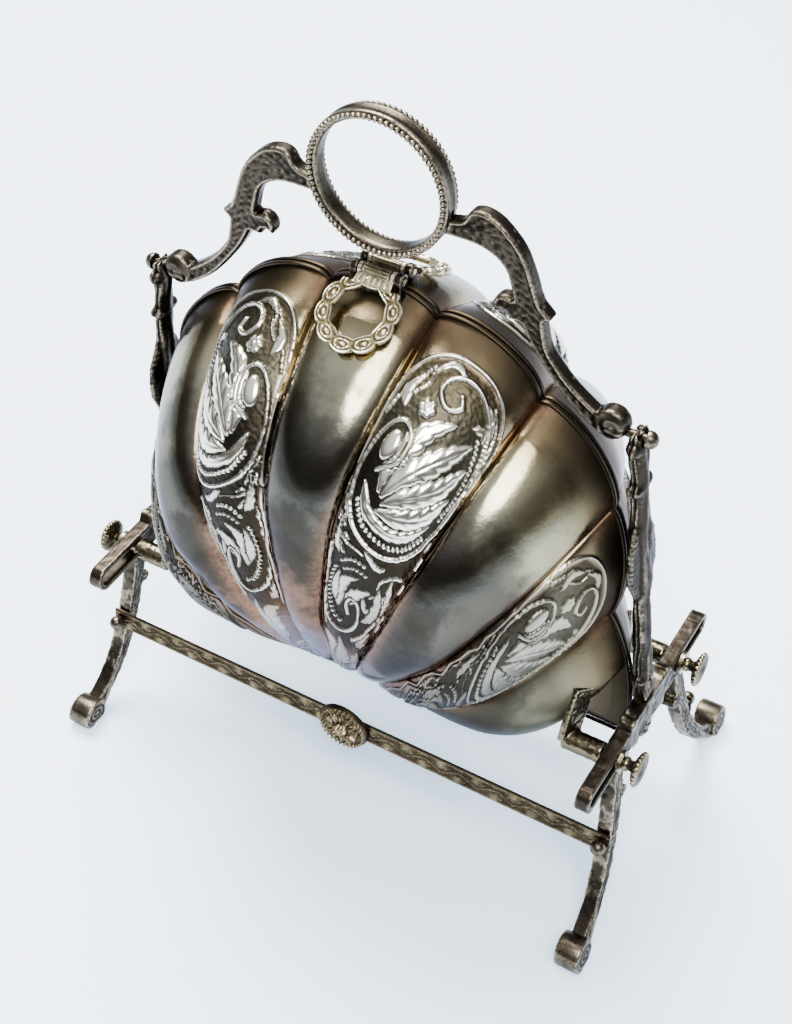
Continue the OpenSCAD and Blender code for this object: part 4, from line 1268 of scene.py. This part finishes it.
@dataclass
class PullRing:
    """The gilt rings that lift the shells, in millimetres."""

    axis_y: float = 3.0
    axis_z: float = 225.4
    slope: float = 29.0
    outer_r: float = 14.3
    hole_r: float = 8.4
    outer_dip: float = 1.5
    inner_dip: float = 0.8
    middle_r: float = 11.3
    oval_half: tuple[float, float] = (2.75, 1.75)
    thick: float = 2.4
    neck_half: float = 6.4
    neck_from: float = 1.2
    neck_run: float = 4.4
    neck_grid: tuple[int, int] = (49, 12)
    barrel_r: float = 2.2
    barrel_half: float = 6.7
    barrel_steps: int = 96
    flute_half: float = 4.6
    flute_depth: float = 0.16
    flutes: int = 12
    ear_room: float = 4.5
    scallops: int = 10
    steps: int = 240
    face_rows: int = 31
    back_rows: int = 13

    def band(self) -> Form:
        """Makes the ring's flat wreath of ovals with a scalloped edge.

        Returns:
            The band about its own middle.
        """
        theta = turns(self.steps)[None, :]
        under = np.linspace(1, 0, self.back_rows)[1:-1]
        u = np.concatenate([np.linspace(0, 1, self.face_rows), under])[:, None]
        front = (np.arange(len(u)) < self.face_rows)[:, None]
        scallop = np.abs(np.cos(theta * self.scallops / 2)) ** 0.7
        outer = self.outer_r - self.outer_dip + self.outer_dip * scallop
        inner = self.hole_r + self.inner_dip - self.inner_dip * scallop
        r = inner + (outer - inner) * u
        lobe = (theta * self.scallops / FULL_TURN + 0.5) % 1 - 0.5
        long, wide = self.oval_half
        oval = np.hypot(lobe * FULL_TURN * self.middle_r / self.scallops / long,
                        (u - 0.5) * (outer - inner) / wide)
        ring, seed = ridge(oval, 0.86, 0.17), ridge(oval, 0, 0.34)
        rim = ridge(u, 0.07, 0.07) + ridge(u, 0.93, 0.07)
        rise = 0.42 + np.maximum(np.maximum(0.6 * ring, 0.5 * seed), 0.62 * rim)
        round_ = np.sqrt(np.clip(1 - (2 * u - 1) ** 8, 0, 1))
        w = np.where(front, rise * round_, -self.thick / 2 * round_)
        points = np.stack([r * np.sin(theta), r * np.cos(theta), w + 0 * theta], -1).reshape(-1, 3)
        low = np.clip(1 - ring - seed - rim, 0, 1)
        hollow = np.where(front, 0.9 * low, 0.0) + 0 * theta
        raised = np.where(front, 0.8 * np.clip(ring + rim - 0.4, 0, 1), 0.0) + 0 * theta
        faces = quad_grid(len(u), self.steps, wrap=True, around=True)
        return Form(points, faces, {"hollow": hollow.ravel(), "raised": raised.ravel()})

    def neck(self) -> Form:
        """Makes the reeded neck between the band and the barrel.

        Returns:
            The neck, running up from the barrel.
        """
        rows, columns = self.neck_grid
        x = np.linspace(-1, 1, rows)[:, None]
        v = np.linspace(0, 1, columns)[None, :]
        wide = self.neck_half + 0.4 * v
        up = self.neck_from + self.neck_run * v + 0 * x
        reed = 0.25 * np.abs(np.cos(x * 3.5 * math.pi)) * np.sin(math.pi * np.clip(v, 0.05, 0.95))
        top = np.stack([x * wide, up, 0.75 - 0.1 * v + reed], -1)
        under = np.stack([x * wide, up, -1.0 + 0 * reed], -1)
        points = np.concatenate([top.reshape(-1, 3), under.reshape(-1, 3)])
        faces = [tuple(reversed(f)) for f in quad_grid(rows, columns)]
        faces += quad_grid(rows, columns, rows * columns)
        loop = [i * columns for i in range(rows)] + [(rows - 1) * columns + j for j in range(1, columns)]
        loop += [i * columns + columns - 1 for i in range(rows - 2, -1, -1)] + list(range(columns - 2, 0, -1))
        size = rows * columns
        for a, b in zip(loop, loop[1:] + loop[:1]):
            faces.append((a, b, b + size, a + size))
        marks = np.concatenate([np.clip(1 - reed * 5, 0, 1).ravel() * 0.6, np.zeros(size)])
        return Form(points, faces, {"hollow": marks})

    def flute(self, turn: np.ndarray, x: np.ndarray) -> np.ndarray:
        """Change of radius from the barrel's flutes, by angle and x."""
        return -self.flute_depth * np.abs(np.sin(self.flutes / 2 * turn)) * (np.abs(x) < self.flute_half)

    def barrel(self) -> Form:
        """Makes the fluted hinge barrel.

        Returns:
            The barrel about the X axis.
        """
        end = [(1, 0.8), (0.97, 0.97), (0.8, 1), (0.78, 0.9), (0.74, 0.9), (0.72, 1), (0.4, 1)]
        line = [(-a, b) for a, b in end] + [(0, 1)] + end[::-1]
        profile = [(a * self.barrel_half, b * self.barrel_r) for a, b in line]
        form = lathe(profile, self.barrel_steps, self.flute)
        form.marks["hollow"] = np.full(len(form.points), 0.85)
        return form

    def build(self) -> None:
        """Adds both pull rings."""
        band = self.band()
        flat = band.points
        near = np.abs(flat[:, 0]) > self.barrel_half - 0.5
        reach = flat[:, 1] - self.outer_r
        reach = np.where(near, np.minimum(reach, -self.ear_room - 0.3), reach)
        band.points = np.stack([flat[:, 0], np.minimum(reach, -self.neck_from), flat[:, 2]], -1)
        form = band.joined(self.neck().mirrored(1))
        tilt = np.array(Matrix.Rotation(math.radians(self.slope), 3, "X"))
        form.points = form.points @ tilt.T
        form = form.joined(self.barrel())
        form.points = form.points + np.array([0, -self.axis_y, self.axis_z])
        for half in Half:
            add_piece(f"{half.word}_pull_ring_gilt", form.placed(half), PALE_GILT, f"{half.word}_ring",
                      [f"{half.word}_pull_ring"])


@dataclass
class ThumbScrews:
    """The knurled screws that the shells hang on, in millimetres."""

    pin_y: float = 25.5
    pin_z: float = 73.5
    shank_from: float = 87.05
    shank_r: float = 1.8
    head_from: float = 107.15
    neck_r: float = 2.7
    head_r: float = 6.5
    length: float = 7.4
    edge_at: float = 5.3
    knurls: int = 22
    knurl_depth: float = 0.55
    steps: int = 176

    def knurl(self, turn: np.ndarray, x: np.ndarray) -> np.ndarray:
        """Change of radius from the notches round the head's edge, by angle and x."""
        own = np.clip(1 - np.abs(x - (self.head_from + self.edge_at)) / 1.0, 0, 1)
        return -self.knurl_depth * own * np.abs(np.sin(turn * self.knurls / 2)) ** 4

    def screw(self) -> Form:
        """Makes one right-hand screw.

        Returns:
            The screw about its own axis.
        """
        h, neck, head = self.head_from, self.neck_r, self.head_r
        profile = [(self.shank_from, 1.4), (self.shank_from + 0.4, self.shank_r), (h, self.shank_r),
                   (h + 0.02, neck - 0.2), (h + 0.3, neck), (h + 1.2, neck), (h + 1.7, neck - 0.4),
                   (h + 2.4, neck - 0.8), (h + 3.2, neck - 0.5), (h + 3.9, 4.2), (h + 4.6, head - 0.7),
                   (h + 5.0, head - 0.25), (h + self.edge_at, head - 0.05), (h + 5.9, head - 0.05),
                   (h + 6.3, head - 0.3), (h + 6.6, head - 0.9), (h + 6.7, head - 1.6), (h + 6.5, head - 2.2),
                   (h + 6.9, 2.6), (h + self.length - 0.1, 1.4), (h + self.length, 0.3)]
        form = lathe(profile, self.steps, self.knurl)
        form.marks["hollow"] = 0.5 * np.clip(form.points[:, 0] - h - 6.2, 0, 0.4) / 0.4
        return form

    def build(self) -> None:
        """Adds the four screws."""
        form = self.screw()
        form.points = form.points + np.array([0, -self.pin_y, self.pin_z])
        for half in Half:
            for side in Side:
                add_piece(f"{half.word}_{side.word}_knurled_screw", form.placed(half, side), WORN_BRASS,
                          f"{half.word}_{side.word}_screw", [f"{half.word}_{side.word}_thumb_screw"])


# Stand


@dataclass
class Stand:
    """Leg frames, uprights, handle, stretchers and rosettes of the stand, in millimetres."""

    body: str = "stand"
    foot_at: tuple[float, float] = (61.0, 5.6)
    foot_r: float = 6.0
    foot_curl: float = 2.3
    lean: float = 6.0
    bar_x: float = 102.4
    pin_z: float = 73.5
    slot_mid: float = 35.1
    slot_half: float = 9.6
    slot_room: float = 4.8
    leg_top: float = 66.0
    leg_bottom: float = 13.0
    hub_half: float = 17.0
    bark_step: float = 1.5
    leaf_z: float = 146.0
    leaf_len: float = 44.0
    leaf_bead: float = 2.2
    eye_at: tuple[float, float] = (81.05, 197.6)
    eye_r: float = 5.4
    eye_curl: float = 3.4
    arm_line: Line = ((24.5, 249), (33, 251.5), (41, 248), (47, 238), (49.6, 228), (52.6, 217), (59, 208.6),
                      (66, 203.2), (76, 199))
    arm_leaf: float = 3.1
    ring_z: float = 257.0
    ring_r: float = 24.5
    ring_band: float = 3.0
    ring_w: float = 6.0
    ring_steps: int = 200
    bead_count: int = 78
    bead_r: float = 0.98
    bead_grid: tuple[int, int] = (6, 12)
    bead_wire_r: float = 0.5
    bead_wire_grid: tuple[int, int] = (10, 160)
    stretcher_grid: tuple[int, int] = (620, 27)
    stretcher_wave: float = 15.0
    stretcher_bead: float = 1.5
    stretcher_slope: float = 1.9
    stretcher_relief: float = 0.62
    rosette_r: float = 10.5
    rosette_rings: int = 54
    rosette_steps: int = 288
    petals: int = 12

    def middle_x(self, z: np.ndarray) -> np.ndarray:
        """Place along the box of the leaning frame's middle plane at some heights."""
        return self.bar_x + (self.pin_z - z) * math.tan(math.radians(self.lean))

    def leg_frame(self) -> Form:
        """Makes the right-hand leg frame: moulded edges, bark on the legs, and rolled feet with their toes.

        Returns:
            The leg frame. Nothing stands out round its slots, so that the bushes run free.
        """
        form = casting("right_leg_frame", 0.5, 6)
        p = form.points
        y, z = np.abs(p[:, 1]), p[:, 2]
        away, square = from_edge(form, 0)
        rough = 0.1 * grain(p, 2.2, 31) + 0.06 * grain(p, 0.9, 32)
        bark = 0.22 * np.cos(FULL_TURN * away / self.bark_step + 2.5 * grain(p, 6.0, 34))
        bark = bark + 0.16 * grain(p * (1, 1, 0.4), 1.5, 35)
        leg = falling(z, self.leg_top, 4) * rising(z, self.leg_bottom, 6)
        hub = falling(y, self.hub_half, 3) * (1 - leg)
        studs = 0.5 * np.clip(grain(p, 3.4, 36), -0.3, 1)
        moulding = 0.2 * ridge(away, 0.75, 0.45) - 0.16 * rising(away, 1.1, 0.5)
        rise = square * moulding * (1 - leg) + rough + leg * bark + hub * studs
        out, up = y - self.foot_at[0], z - self.foot_at[1]
        r = np.hypot(out, up)
        curl = np.cos(FULL_TURN * (r / self.foot_curl - np.arctan2(up, out) / FULL_TURN))
        rise = np.where((r < self.foot_r - 0.4) & (square > 0.3), 0.2 * curl * square, rise)
        rise *= rising(z, 0, 1.2)
        slot = np.hypot(np.maximum(np.abs(y - self.slot_mid) - self.slot_half, 0), z - self.pin_z)
        rise = np.where(slot < self.slot_room, np.minimum(rise, -0.03), rise)
        form = pressed(form, rise, -0.08, 0.12, 0.8)
        toe = self.toe()
        return form.joined(toe, toe.mirrored(1))

    def toe(self) -> Form:
        """Makes the band that runs from the front leg under its rolled foot and up round it.

        Returns:
            The band, with closed ends.
        """
        fy, fz = self.foot_at
        r = self.foot_r - 0.1
        roll = [(-(fy + r * math.cos(a)), fz - 0.1 + r * math.sin(a))
                for a in np.radians(np.linspace(-100, 150, 40))]
        path = np.array([*smooth_line([(-43.5, 20), (-47.5, 11.5), (-53, 4.6), roll[0]], 14), *roll[1:]])
        step = np.gradient(path, axis=0)
        side = np.stack([-step[:, 1], step[:, 0]], -1) / np.linalg.norm(step, axis=1)[:, None]
        count = len(path)
        thick = np.interp(np.arange(count), [0, 20, 42, count - 1], [0.2, 1.5, 1.0, 0.45])[:, None]
        wide = np.interp(np.arange(count), [0, 30, 50], [2.6, 3.2, 4.7])
        ring = np.radians(np.arange(0, 360, 30))
        rows = []
        for a in ring:
            flat = path + side * (thick * np.sign(math.sin(a)) * abs(math.sin(a)) ** 0.6)
            flat[:, 1] = np.maximum(flat[:, 1], 0.02)
            x = self.middle_x(flat[:, 1]) + wide * np.sign(math.cos(a)) * abs(math.cos(a)) ** 0.4
            rows.append(np.stack([x, flat[:, 0], flat[:, 1]], -1))
        points = np.concatenate(rows)
        faces = quad_grid(len(ring), count, around=True)
        faces.append(tuple(k * count for k in range(len(ring))))
        faces.append(tuple(k * count + count - 1 for k in reversed(range(len(ring)))))
        return Form(points, faces, {"raised": 0.25 * (0.5 + 0.5 * grain(points, 2.0, 33))})

    def upright(self) -> Form:
        """Makes the right-hand upright: a round branch with bark, and a leaf with a beaded edge.

        Returns:
            The upright.
        """
        form = casting("right_upright", 0.45, 7)
        up = (form.points[:, 2] - self.pin_z) / math.cos(math.radians(self.lean))
        leaf_up = (up - (self.leaf_z - self.pin_z)) / (self.leaf_len / 2)
        leafy = np.clip((1.08 - np.abs(leaf_up)) * 6, 0, 1) * rising(np.abs(form.points[:, 1]), 3.4, 1.2)
        form = relaxed(form, 0.9 * leafy, 60)
        p = form.points
        away, _ = from_edge(form, 0)
        y, z = p[:, 1], p[:, 2]
        off = p[:, 0] - self.middle_x(z)
        round_ = np.sqrt(1 - 0.8 * (1 - np.minimum(away, 3.0) / 3.0) ** 2)
        thin = np.interp(np.abs(y), [0, 3.2, 5, 9], [1, 0.95, 0.66, 0.5])
        low = rising(z, 82, 6)
        scale = 1 + (np.where(leafy > 0, np.minimum(round_, thin), round_) - 1) * low
        p = np.stack([self.middle_x(z) + off * scale, y, z], -1)
        turn = np.arctan2(y, 1.3 * off)
        bark = 0.24 * np.cos(6 * turn + 3 * grain(p * (0, 0, 1), 9.0, 43))
        bark = bark + 0.24 * grain(p * (1, 1, 0.3), 1.6, 41)
        beads = ridge(away, 0, 1.1) * (0.5 + 0.5 * np.abs(np.cos(math.pi * up / self.leaf_bead)))
        leaf = 0.34 * beads - 0.3 * ridge(np.abs(y), 4.4, 0.5) + 0.5 * bark
        rise = leafy * leaf + (1 - leafy) * bark + 0.08 * grain(p, 0.8, 42)
        form = pressed(Form(p, form.faces), rise * low, -0.08, 0.2, 0.5)
        form.marks["hollow"] = np.maximum(form.marks["hollow"], 0.5 * low)
        return form

    def arm(self) -> Form:
        """Makes the right-hand handle arm: moulded edges, a field of small leaves, and a rounded scroll eye.

        Returns:
            The arm.
        """
        form = casting("right_handle_arm", 0.45, 6)
        p = form.points
        away, square = from_edge(form, 1)
        x, z = p[:, 0] - self.eye_at[0], p[:, 2] - self.eye_at[1]
        r = np.hypot(x, z)
        bevel = 0.62 + 0.38 * np.sqrt(1 - (1 - np.minimum(away, 1.1) / 1.1) ** 2)
        dome = 1 + 0.6 * np.clip(1 - (r / (self.eye_r + 0.8)) ** 2, 0, 1)
        p = np.stack([p[:, 0], p[:, 1] * bevel * dome, p[:, 2]], -1)
        along, off = beside(smooth_line(self.arm_line), p[:, [0, 2]])
        turn = along / self.arm_leaf - 0.32 * np.abs(off) + 0.5 * grain(p, 4.0, 53)
        leaves = 0.5 * np.cos(FULL_TURN * turn)
        leaves = leaves * (0.5 + 0.5 * np.cos(FULL_TURN * off / 2.6)) + 0.5 * grain(p, 1.1, 51)
        moulding = 0.2 * ridge(away, 0.9, 0.4) + rising(away, 1.4, 0.4) * (0.34 * leaves - 0.16)
        rise = square * moulding + 0.05 * grain(p, 0.9, 52)
        volute = np.cos(FULL_TURN * (r / self.eye_curl + np.arctan2(z, x) / FULL_TURN))
        rise = np.where(r < self.eye_r + 0.4, square * 0.16 * volute, rise)
        return pressed(Form(p, form.faces), rise, -0.12, 0.14, 0.65)

    def ring(self) -> Form:
        """Makes the band of the handle ring, softly rounded and with a shallow groove outside.

        Returns:
            The band, turned about the Y axis.
        """
        inner, outer, w = self.ring_r - self.ring_band, self.ring_r, self.ring_w / 2
        section = np.array([
            (-w, inner + 0.5), (-w + 0.5, inner + 0.08), (-1, inner), (0, inner), (1, inner),
            (w - 0.5, inner + 0.08), (w, inner + 0.5), (w, inner + 1.2), (w, outer - 0.5),
            (w - 0.5, outer - 0.05), (1.5, outer - 0.05), (1.1, outer - 0.3), (0, outer - 0.35),
            (-1.1, outer - 0.3), (-1.5, outer - 0.05), (-w + 0.5, outer - 0.05), (-w, outer - 0.5),
            (-w, inner + 1.2)])
        turn = turns(self.ring_steps)[None, :]
        y, r = section[:, :1], section[:, 1:]
        points = np.stack([r * np.cos(turn), y + 0 * turn, r * np.sin(turn) + self.ring_z], -1).reshape(-1, 3)
        wear = 0.5 + 0.5 * grain(points, 6.0, 61)
        return Form(points, quad_grid(len(section), self.ring_steps, wrap=True, around=True),
                    {"raised": 0.2 * wear, "hollow": 0.35 * (1 - wear)})

    def bead_row(self) -> Form:
        """Makes the row of beads on the front face of the handle ring.

        Returns:
            The beads, on their own wire.
        """
        rings, around = self.bead_grid
        radius, middle = self.bead_r, self.ring_r - 1.25
        long, short = np.meshgrid(turns(around), np.linspace(0, math.pi, rings + 2)[1:-1])
        ball = np.stack([np.cos(long) * np.sin(short), np.cos(short), np.sin(long) * np.sin(short)], -1)
        one = np.concatenate([ball.reshape(-1, 3), [[0, 1, 0], [0, -1, 0]]]) * radius
        top, last = rings * around, (rings - 1) * around
        side = quad_grid(rings, around, wrap=True)
        side += [(top, (j + 1) % around, j) for j in range(around)]
        side += [(top + 1, last + j, last + (j + 1) % around) for j in range(around)]
        marks = {"raised": np.clip(-one[:, 1] / radius, 0, 1) * 0.7,
                 "hollow": np.clip(one[:, 1] / radius + 0.3, 0, 1)}
        y = -self.ring_w / 2 - radius * 0.85
        forms = []
        for k in range(self.bead_count):
            a = FULL_TURN * k / self.bead_count
            at = np.array([middle * math.cos(a), y, self.ring_z + middle * math.sin(a)])
            forms.append(Form(one + at, side, marks))
        sides, steps = self.bead_wire_grid
        turn, phi, thin = turns(steps)[None, :], turns(sides)[:, None], self.bead_wire_r
        r = middle + thin * np.cos(phi)
        wire = np.stack([r * np.cos(turn), y + thin * np.sin(phi) + 0 * turn,
                         self.ring_z + r * np.sin(turn)], -1)
        core = Form(wire.reshape(-1, 3), quad_grid(sides, steps, wrap=True, around=True),
                    {"hollow": np.ones(sides * steps)})
        return core.joined(*forms)

    def stretcher(self) -> Form:
        """Makes the front stretcher, with a running leaf between beaded edges on its face.

        Returns:
            The stretcher.
        """
        lo, hi = (np.array(c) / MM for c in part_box("front_stretcher"))
        rows, columns = self.stretcher_grid
        x = np.linspace(lo[0], hi[0], rows)[:, None]
        v = np.linspace(-1, 1, columns)[None, :]
        half, wave = (hi[2] - lo[2]) / 2, self.stretcher_wave
        z = v * half
        bead = np.abs(np.cos(math.pi * x / self.stretcher_bead))
        edge = np.exp(-((np.abs(z) - half + 0.75) / 0.5) ** 2)
        stem = ridge(z, 1.15 * np.sin(FULL_TURN * x / wave), 0.42)
        lobe = (x % (wave / 2)) - wave / 4
        where = z + 1.3 * np.sign(np.sin(FULL_TURN * x / wave))
        reach = np.hypot(lobe / 2.7, where / 1.35)
        leaf = np.clip(1 - reach ** 2, 0, 1) ** 0.5 * (0.7 + 0.3 * np.cos(7 * np.arctan2(where, lobe + 0.2)))
        flat = np.stack(np.broadcast_arrays(x, z, 0 * x * z), -1).reshape(-1, 3)
        mat = grain(flat, 0.8, 71).reshape(rows, columns) * 0.1
        rise = 0.5 * edge * (0.6 + 0.4 * bead) + np.maximum(0.42 * stem, 0.5 * leaf) + mat
        rise = np.minimum(rise, self.stretcher_relief) - self.stretcher_relief
        rise[:, [0, -1]] = -0.5
        slope = self.stretcher_slope * (0.5 + 0.5 * v)
        front = np.stack([x + 0 * z, lo[1] + slope - rise, z + (lo[2] + hi[2]) / 2 + 0 * x], -1)
        back = front[:, [0, -1]]
        back[..., 1] = hi[1]
        size = rows * columns
        points = np.concatenate([front.reshape(-1, 3), back.reshape(-1, 3)])
        faces = quad_grid(rows, columns)
        for i in range(rows - 1):
            a, b = size + 2 * i, size + 2 * i + 2
            low, high = i * columns, (i + 1) * columns
            faces += [(a + 1, b + 1, b, a), (low, high, b, a),
                      (a + 1, b + 1, high + columns - 1, low + columns - 1)]
        for i, flip in ((0, -1), (rows - 1, 1)):
            loop = [i * columns + j for j in range(columns)] + [size + 2 * i + 1, size + 2 * i]
            faces.append(tuple(loop[::flip]))
        pad = np.zeros(len(points) - size)
        hollow = np.clip((-0.3 - rise) * 4, 0, DARKEST).ravel()
        raised = np.clip((rise + 0.2) * 4, 0, BRIGHTEST).ravel()
        return Form(points, faces, {"hollow": np.concatenate([hollow, pad]),
                                    "raised": np.concatenate([raised, pad])})

    def rosette(self) -> Form:
        """Makes the front rosette: petals in a dish with a roped rim and a boss.

        Returns:
            The rosette, which reaches back into the stretcher.
        """
        lo, hi = (np.array(c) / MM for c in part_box("front_rosette"))
        back_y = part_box("front_stretcher")[0][1] / MM + 1.0
        thick = back_y - lo[1]
        rings, steps = self.rosette_rings, self.rosette_steps
        theta = turns(steps)[None, :]
        r = np.linspace(0.15, self.rosette_r, rings)[:, None]
        petal = np.abs(np.cos(theta * self.petals / 2)) ** 0.55
        body = rising(r, 3.5, 0.8) * np.clip((6.9 - r + 0.8 * petal) / 0.9, 0, 1)
        vein = 0.8 + 0.2 * np.cos(theta * self.petals * 2)
        rope = 0.7 + 0.3 * np.cos(theta * 30) * falling(r, 10.1, 0.4)
        boss = np.sqrt(np.clip(1 - (r / 3.0) ** 2, 0, 1)) * (0.86 + 0.14 * np.cos(theta * 9) * (r > 0.8))
        rim = ridge(r, 9.1, 0.8) * rope
        high = 0.24 + np.maximum.reduce([0.4 * body * petal * vein, 0.4 * rim, 0.76 * boss])
        rise = high * np.sqrt(falling(r, self.rosette_r + 0.25, 0.8)) * thick
        spots = np.stack([r * np.cos(theta), back_y - rise, r * np.sin(theta)], -1).reshape(-1, 3)
        edge_x, edge_z = self.rosette_r * np.cos(theta[0]), self.rosette_r * np.sin(theta[0])
        under = np.stack([edge_x, np.full(steps, back_y), edge_z], -1)
        points = np.concatenate([spots, under]) + np.array([0, 0, (lo[2] + hi[2]) / 2])
        faces = quad_grid(rings + 1, steps, wrap=True)
        faces += [tuple(range(steps - 1, -1, -1)), tuple(rings * steps + j for j in range(steps))]
        share, pad = rise / thick, np.zeros(steps)
        hollow = np.concatenate([np.clip((0.42 - share) * 5, 0, DARKEST).ravel(), pad])
        raised = np.concatenate([np.clip((share - 0.52) * 5, 0, 0.8).ravel(), pad])
        return Form(points, faces, {"hollow": hollow, "raised": raised})

    def build(self) -> None:
        """Adds the stand's pieces and dresses the rest."""
        for name, form in (("leg_frame", self.leg_frame()), ("upright", self.upright()),
                           ("handle_arm", self.arm())):
            for side in Side:
                add_piece(f"{side.word}_{name}_casting", form.placed(side=side), CAST_SILVER, self.body,
                          [f"{side.word}_{name}"], 80)
        add_piece("handle_ring_band", self.ring(), CAST_SILVER, self.body, ["handle_ring"])
        for name, form, finish, node in (
                ("bead_row", self.bead_row(), CAST_SILVER, "handle_ring_{}_bead"),
                ("stretcher_bar", self.stretcher(), BROWN_BRASS, "{}_stretcher"),
                ("rosette_flower", self.rosette(), BROWN_BRASS, "{}_rosette")):
            for half in Half:
                add_piece(f"{half.word}_{name}", form.placed(half), finish, self.body,
                          [node.format(half.word)])
        dress_nodes(CAST_SILVER, "left_finial_screw", "right_finial_screw", "handle_rivets",
                    "stretcher_rivets")


@dataclass
class SmallFittings:
    """Pieces whose solids are right as they are, and only need their finish; {} stands for the half."""

    brass: tuple[str, ...] = ("{}_left_slot_bush", "{}_right_slot_bush", "{}_grille_pin")
    gilt: tuple[str, ...] = ("{}_ring_pin", "{}_grille_knob")
    plate: tuple[str, ...] = ("{}_grille", "{}_grille_knuckles")

    def build(self) -> None:
        """Dresses bushes, pins, grilles, knobs and knuckles."""
        for half in Half:
            for finish, names in ((WORN_BRASS, self.brass), (PALE_GILT, self.gilt),
                                  (PLAIN_PLATE, self.plate)):
                dress_nodes(finish, *(name.format(half.word) for name in names))


# Studio


@dataclass
class Studio:
    """Floor, soft light and the camera at the photograph's view.

    The camera's distance and target and the floor's faint clouds are in millimetres. The floor's half width
    and the lamps are in metres; a lamp has its name, place, width and watts. The room's colours run from the
    horizon to straight overhead.
    """

    azimuth: float = 31.84
    elevation: float = 44.44
    roll: float = -1.48
    distance: float = 587.6
    target: tuple = (2.24, 0.0, 120.5)
    lens: float = 58.33
    sensor: float = 36.0
    floor_half: float = 9.0
    floor_colours: tuple[str, str] = ("#f0f8ff", "#eef4ff")
    floor_cloud: float = 160.0
    floor_glow: float = 1.1
    glow_colour: str = "#b4deff"
    room: tuple[tuple[float, str], ...] = (
        (0.0, "#eaf1f8"), (0.085, "#e2e9ef"), (0.12, "#6c6a64"), (0.24, "#64625d"), (0.42, "#807f80"),
        (0.66, "#dbe3f0"), (1.0, "#f6faff"))
    room_strength: float = 1.3
    lamps: tuple = (("lamp_over", (-0.55, 0.5, 1.5), 1.0, 92.0),
                    ("lamp_front", (0.5, -0.62, 1.4), 0.85, 34.0))
    lamp_target: tuple = (0, 0, 0.1)

    def camera(self) -> None:
        """Places the camera."""
        a, e, roll = (math.radians(v) for v in (self.azimuth, self.elevation, self.roll))
        back = Vector((math.sin(a) * math.cos(e), -math.cos(a) * math.cos(e), math.sin(e)))
        right = Vector((math.cos(a), math.sin(a), 0))
        up = back.cross(right)
        x = right * math.cos(roll) + up * math.sin(roll)
        y = up * math.cos(roll) - right * math.sin(roll)
        data = bpy.data.cameras.new("camera")
        data.lens, data.sensor_fit, data.sensor_height = self.lens, "VERTICAL", self.sensor
        data.clip_start, data.clip_end = 0.01, 20
        made = add_object("camera", data)
        turn = Matrix((x, y, back)).transposed().to_4x4()
        made.matrix_world = Matrix.Translation((Vector(self.target) + back * self.distance) * MM) @ turn
        bpy.context.scene.camera = made

    def floor(self) -> None:
        """Lays the pale table top."""
        # Painted board: matt and nearly white, with a trace of blue, lit a little from below
        paint = bpy.data.materials.new("painted_board_matt")
        paint.use_nodes = True
        tree = paint.node_tree
        tree.nodes.clear()
        place = add_node(tree, "TexCoord", out="Object")
        cloud = add_node(tree, "TexNoise", None, {"Vector": place, "Scale": per_size(self.floor_cloud),
                                                  "Detail": 3.0})
        first, second = (linear(code) for code in self.floor_colours)
        colour = add_node(tree, "Mix", COLOURS, {0: cloud, 6: first, 7: second}, MIXED)
        shader = add_node(tree, "BsdfPrincipled", None, {
            "Base Color": colour, "Roughness": 0.75, "Emission Color": linear(self.glow_colour),
            "Emission Strength": self.floor_glow})
        add_node(tree, "OutputMaterial", None, {"Surface": shader})
        h = self.floor_half
        mesh = bpy.data.meshes.new("table_top")
        mesh.from_pydata([(-h, -h, 0), (h, -h, 0), (h, h, 0), (-h, h, 0)], [], [(0, 1, 2, 3)])
        mesh.materials.append(paint)
        made = add_object("table_top", mesh)

    def light(self) -> None:
        """Sets the soft room light and the overhead lamps."""
        world = bpy.data.worlds.new("room")
        bpy.context.scene.world = world
        world.use_nodes = True
        tree = world.node_tree
        tree.nodes.clear()
        place = add_node(tree, "TexCoord", out="Generated")
        height = add_node(tree, "SeparateXYZ", None, {0: place}, "Z")
        colour = add_node(tree, "ValToRGB", {"stops": self.room}, {0: height})
        shade = add_node(tree, "Background", None, {"Color": colour, "Strength": self.room_strength})
        add_node(tree, "OutputWorld", None, {"Surface": shade})
        for name, at, size, power in self.lamps:
            data = bpy.data.lights.new(name, "AREA")
            data.shape, data.size, data.energy = "DISK", size, power
            aim = (Vector(self.lamp_target) - Vector(at)).to_track_quat("-Z", "Y")
            add_object(name, data).matrix_world = Matrix.Translation(at) @ aim.to_matrix().to_4x4()

    def build(self) -> None:
        """Sets the scene round the box."""
        self.camera()
        self.floor()
        self.light()


def main() -> None:
    """Builds the studio and every sub-assembly, and notes the sizes."""
    logging.basicConfig(level=logging.INFO, format="%(name)s: %(message)s")
    for part in (Studio(), Stand(), Shell(), PullRing(), ThumbScrews(), SmallFittings()):
        part.build()


if __name__ == "__main__":
    main()
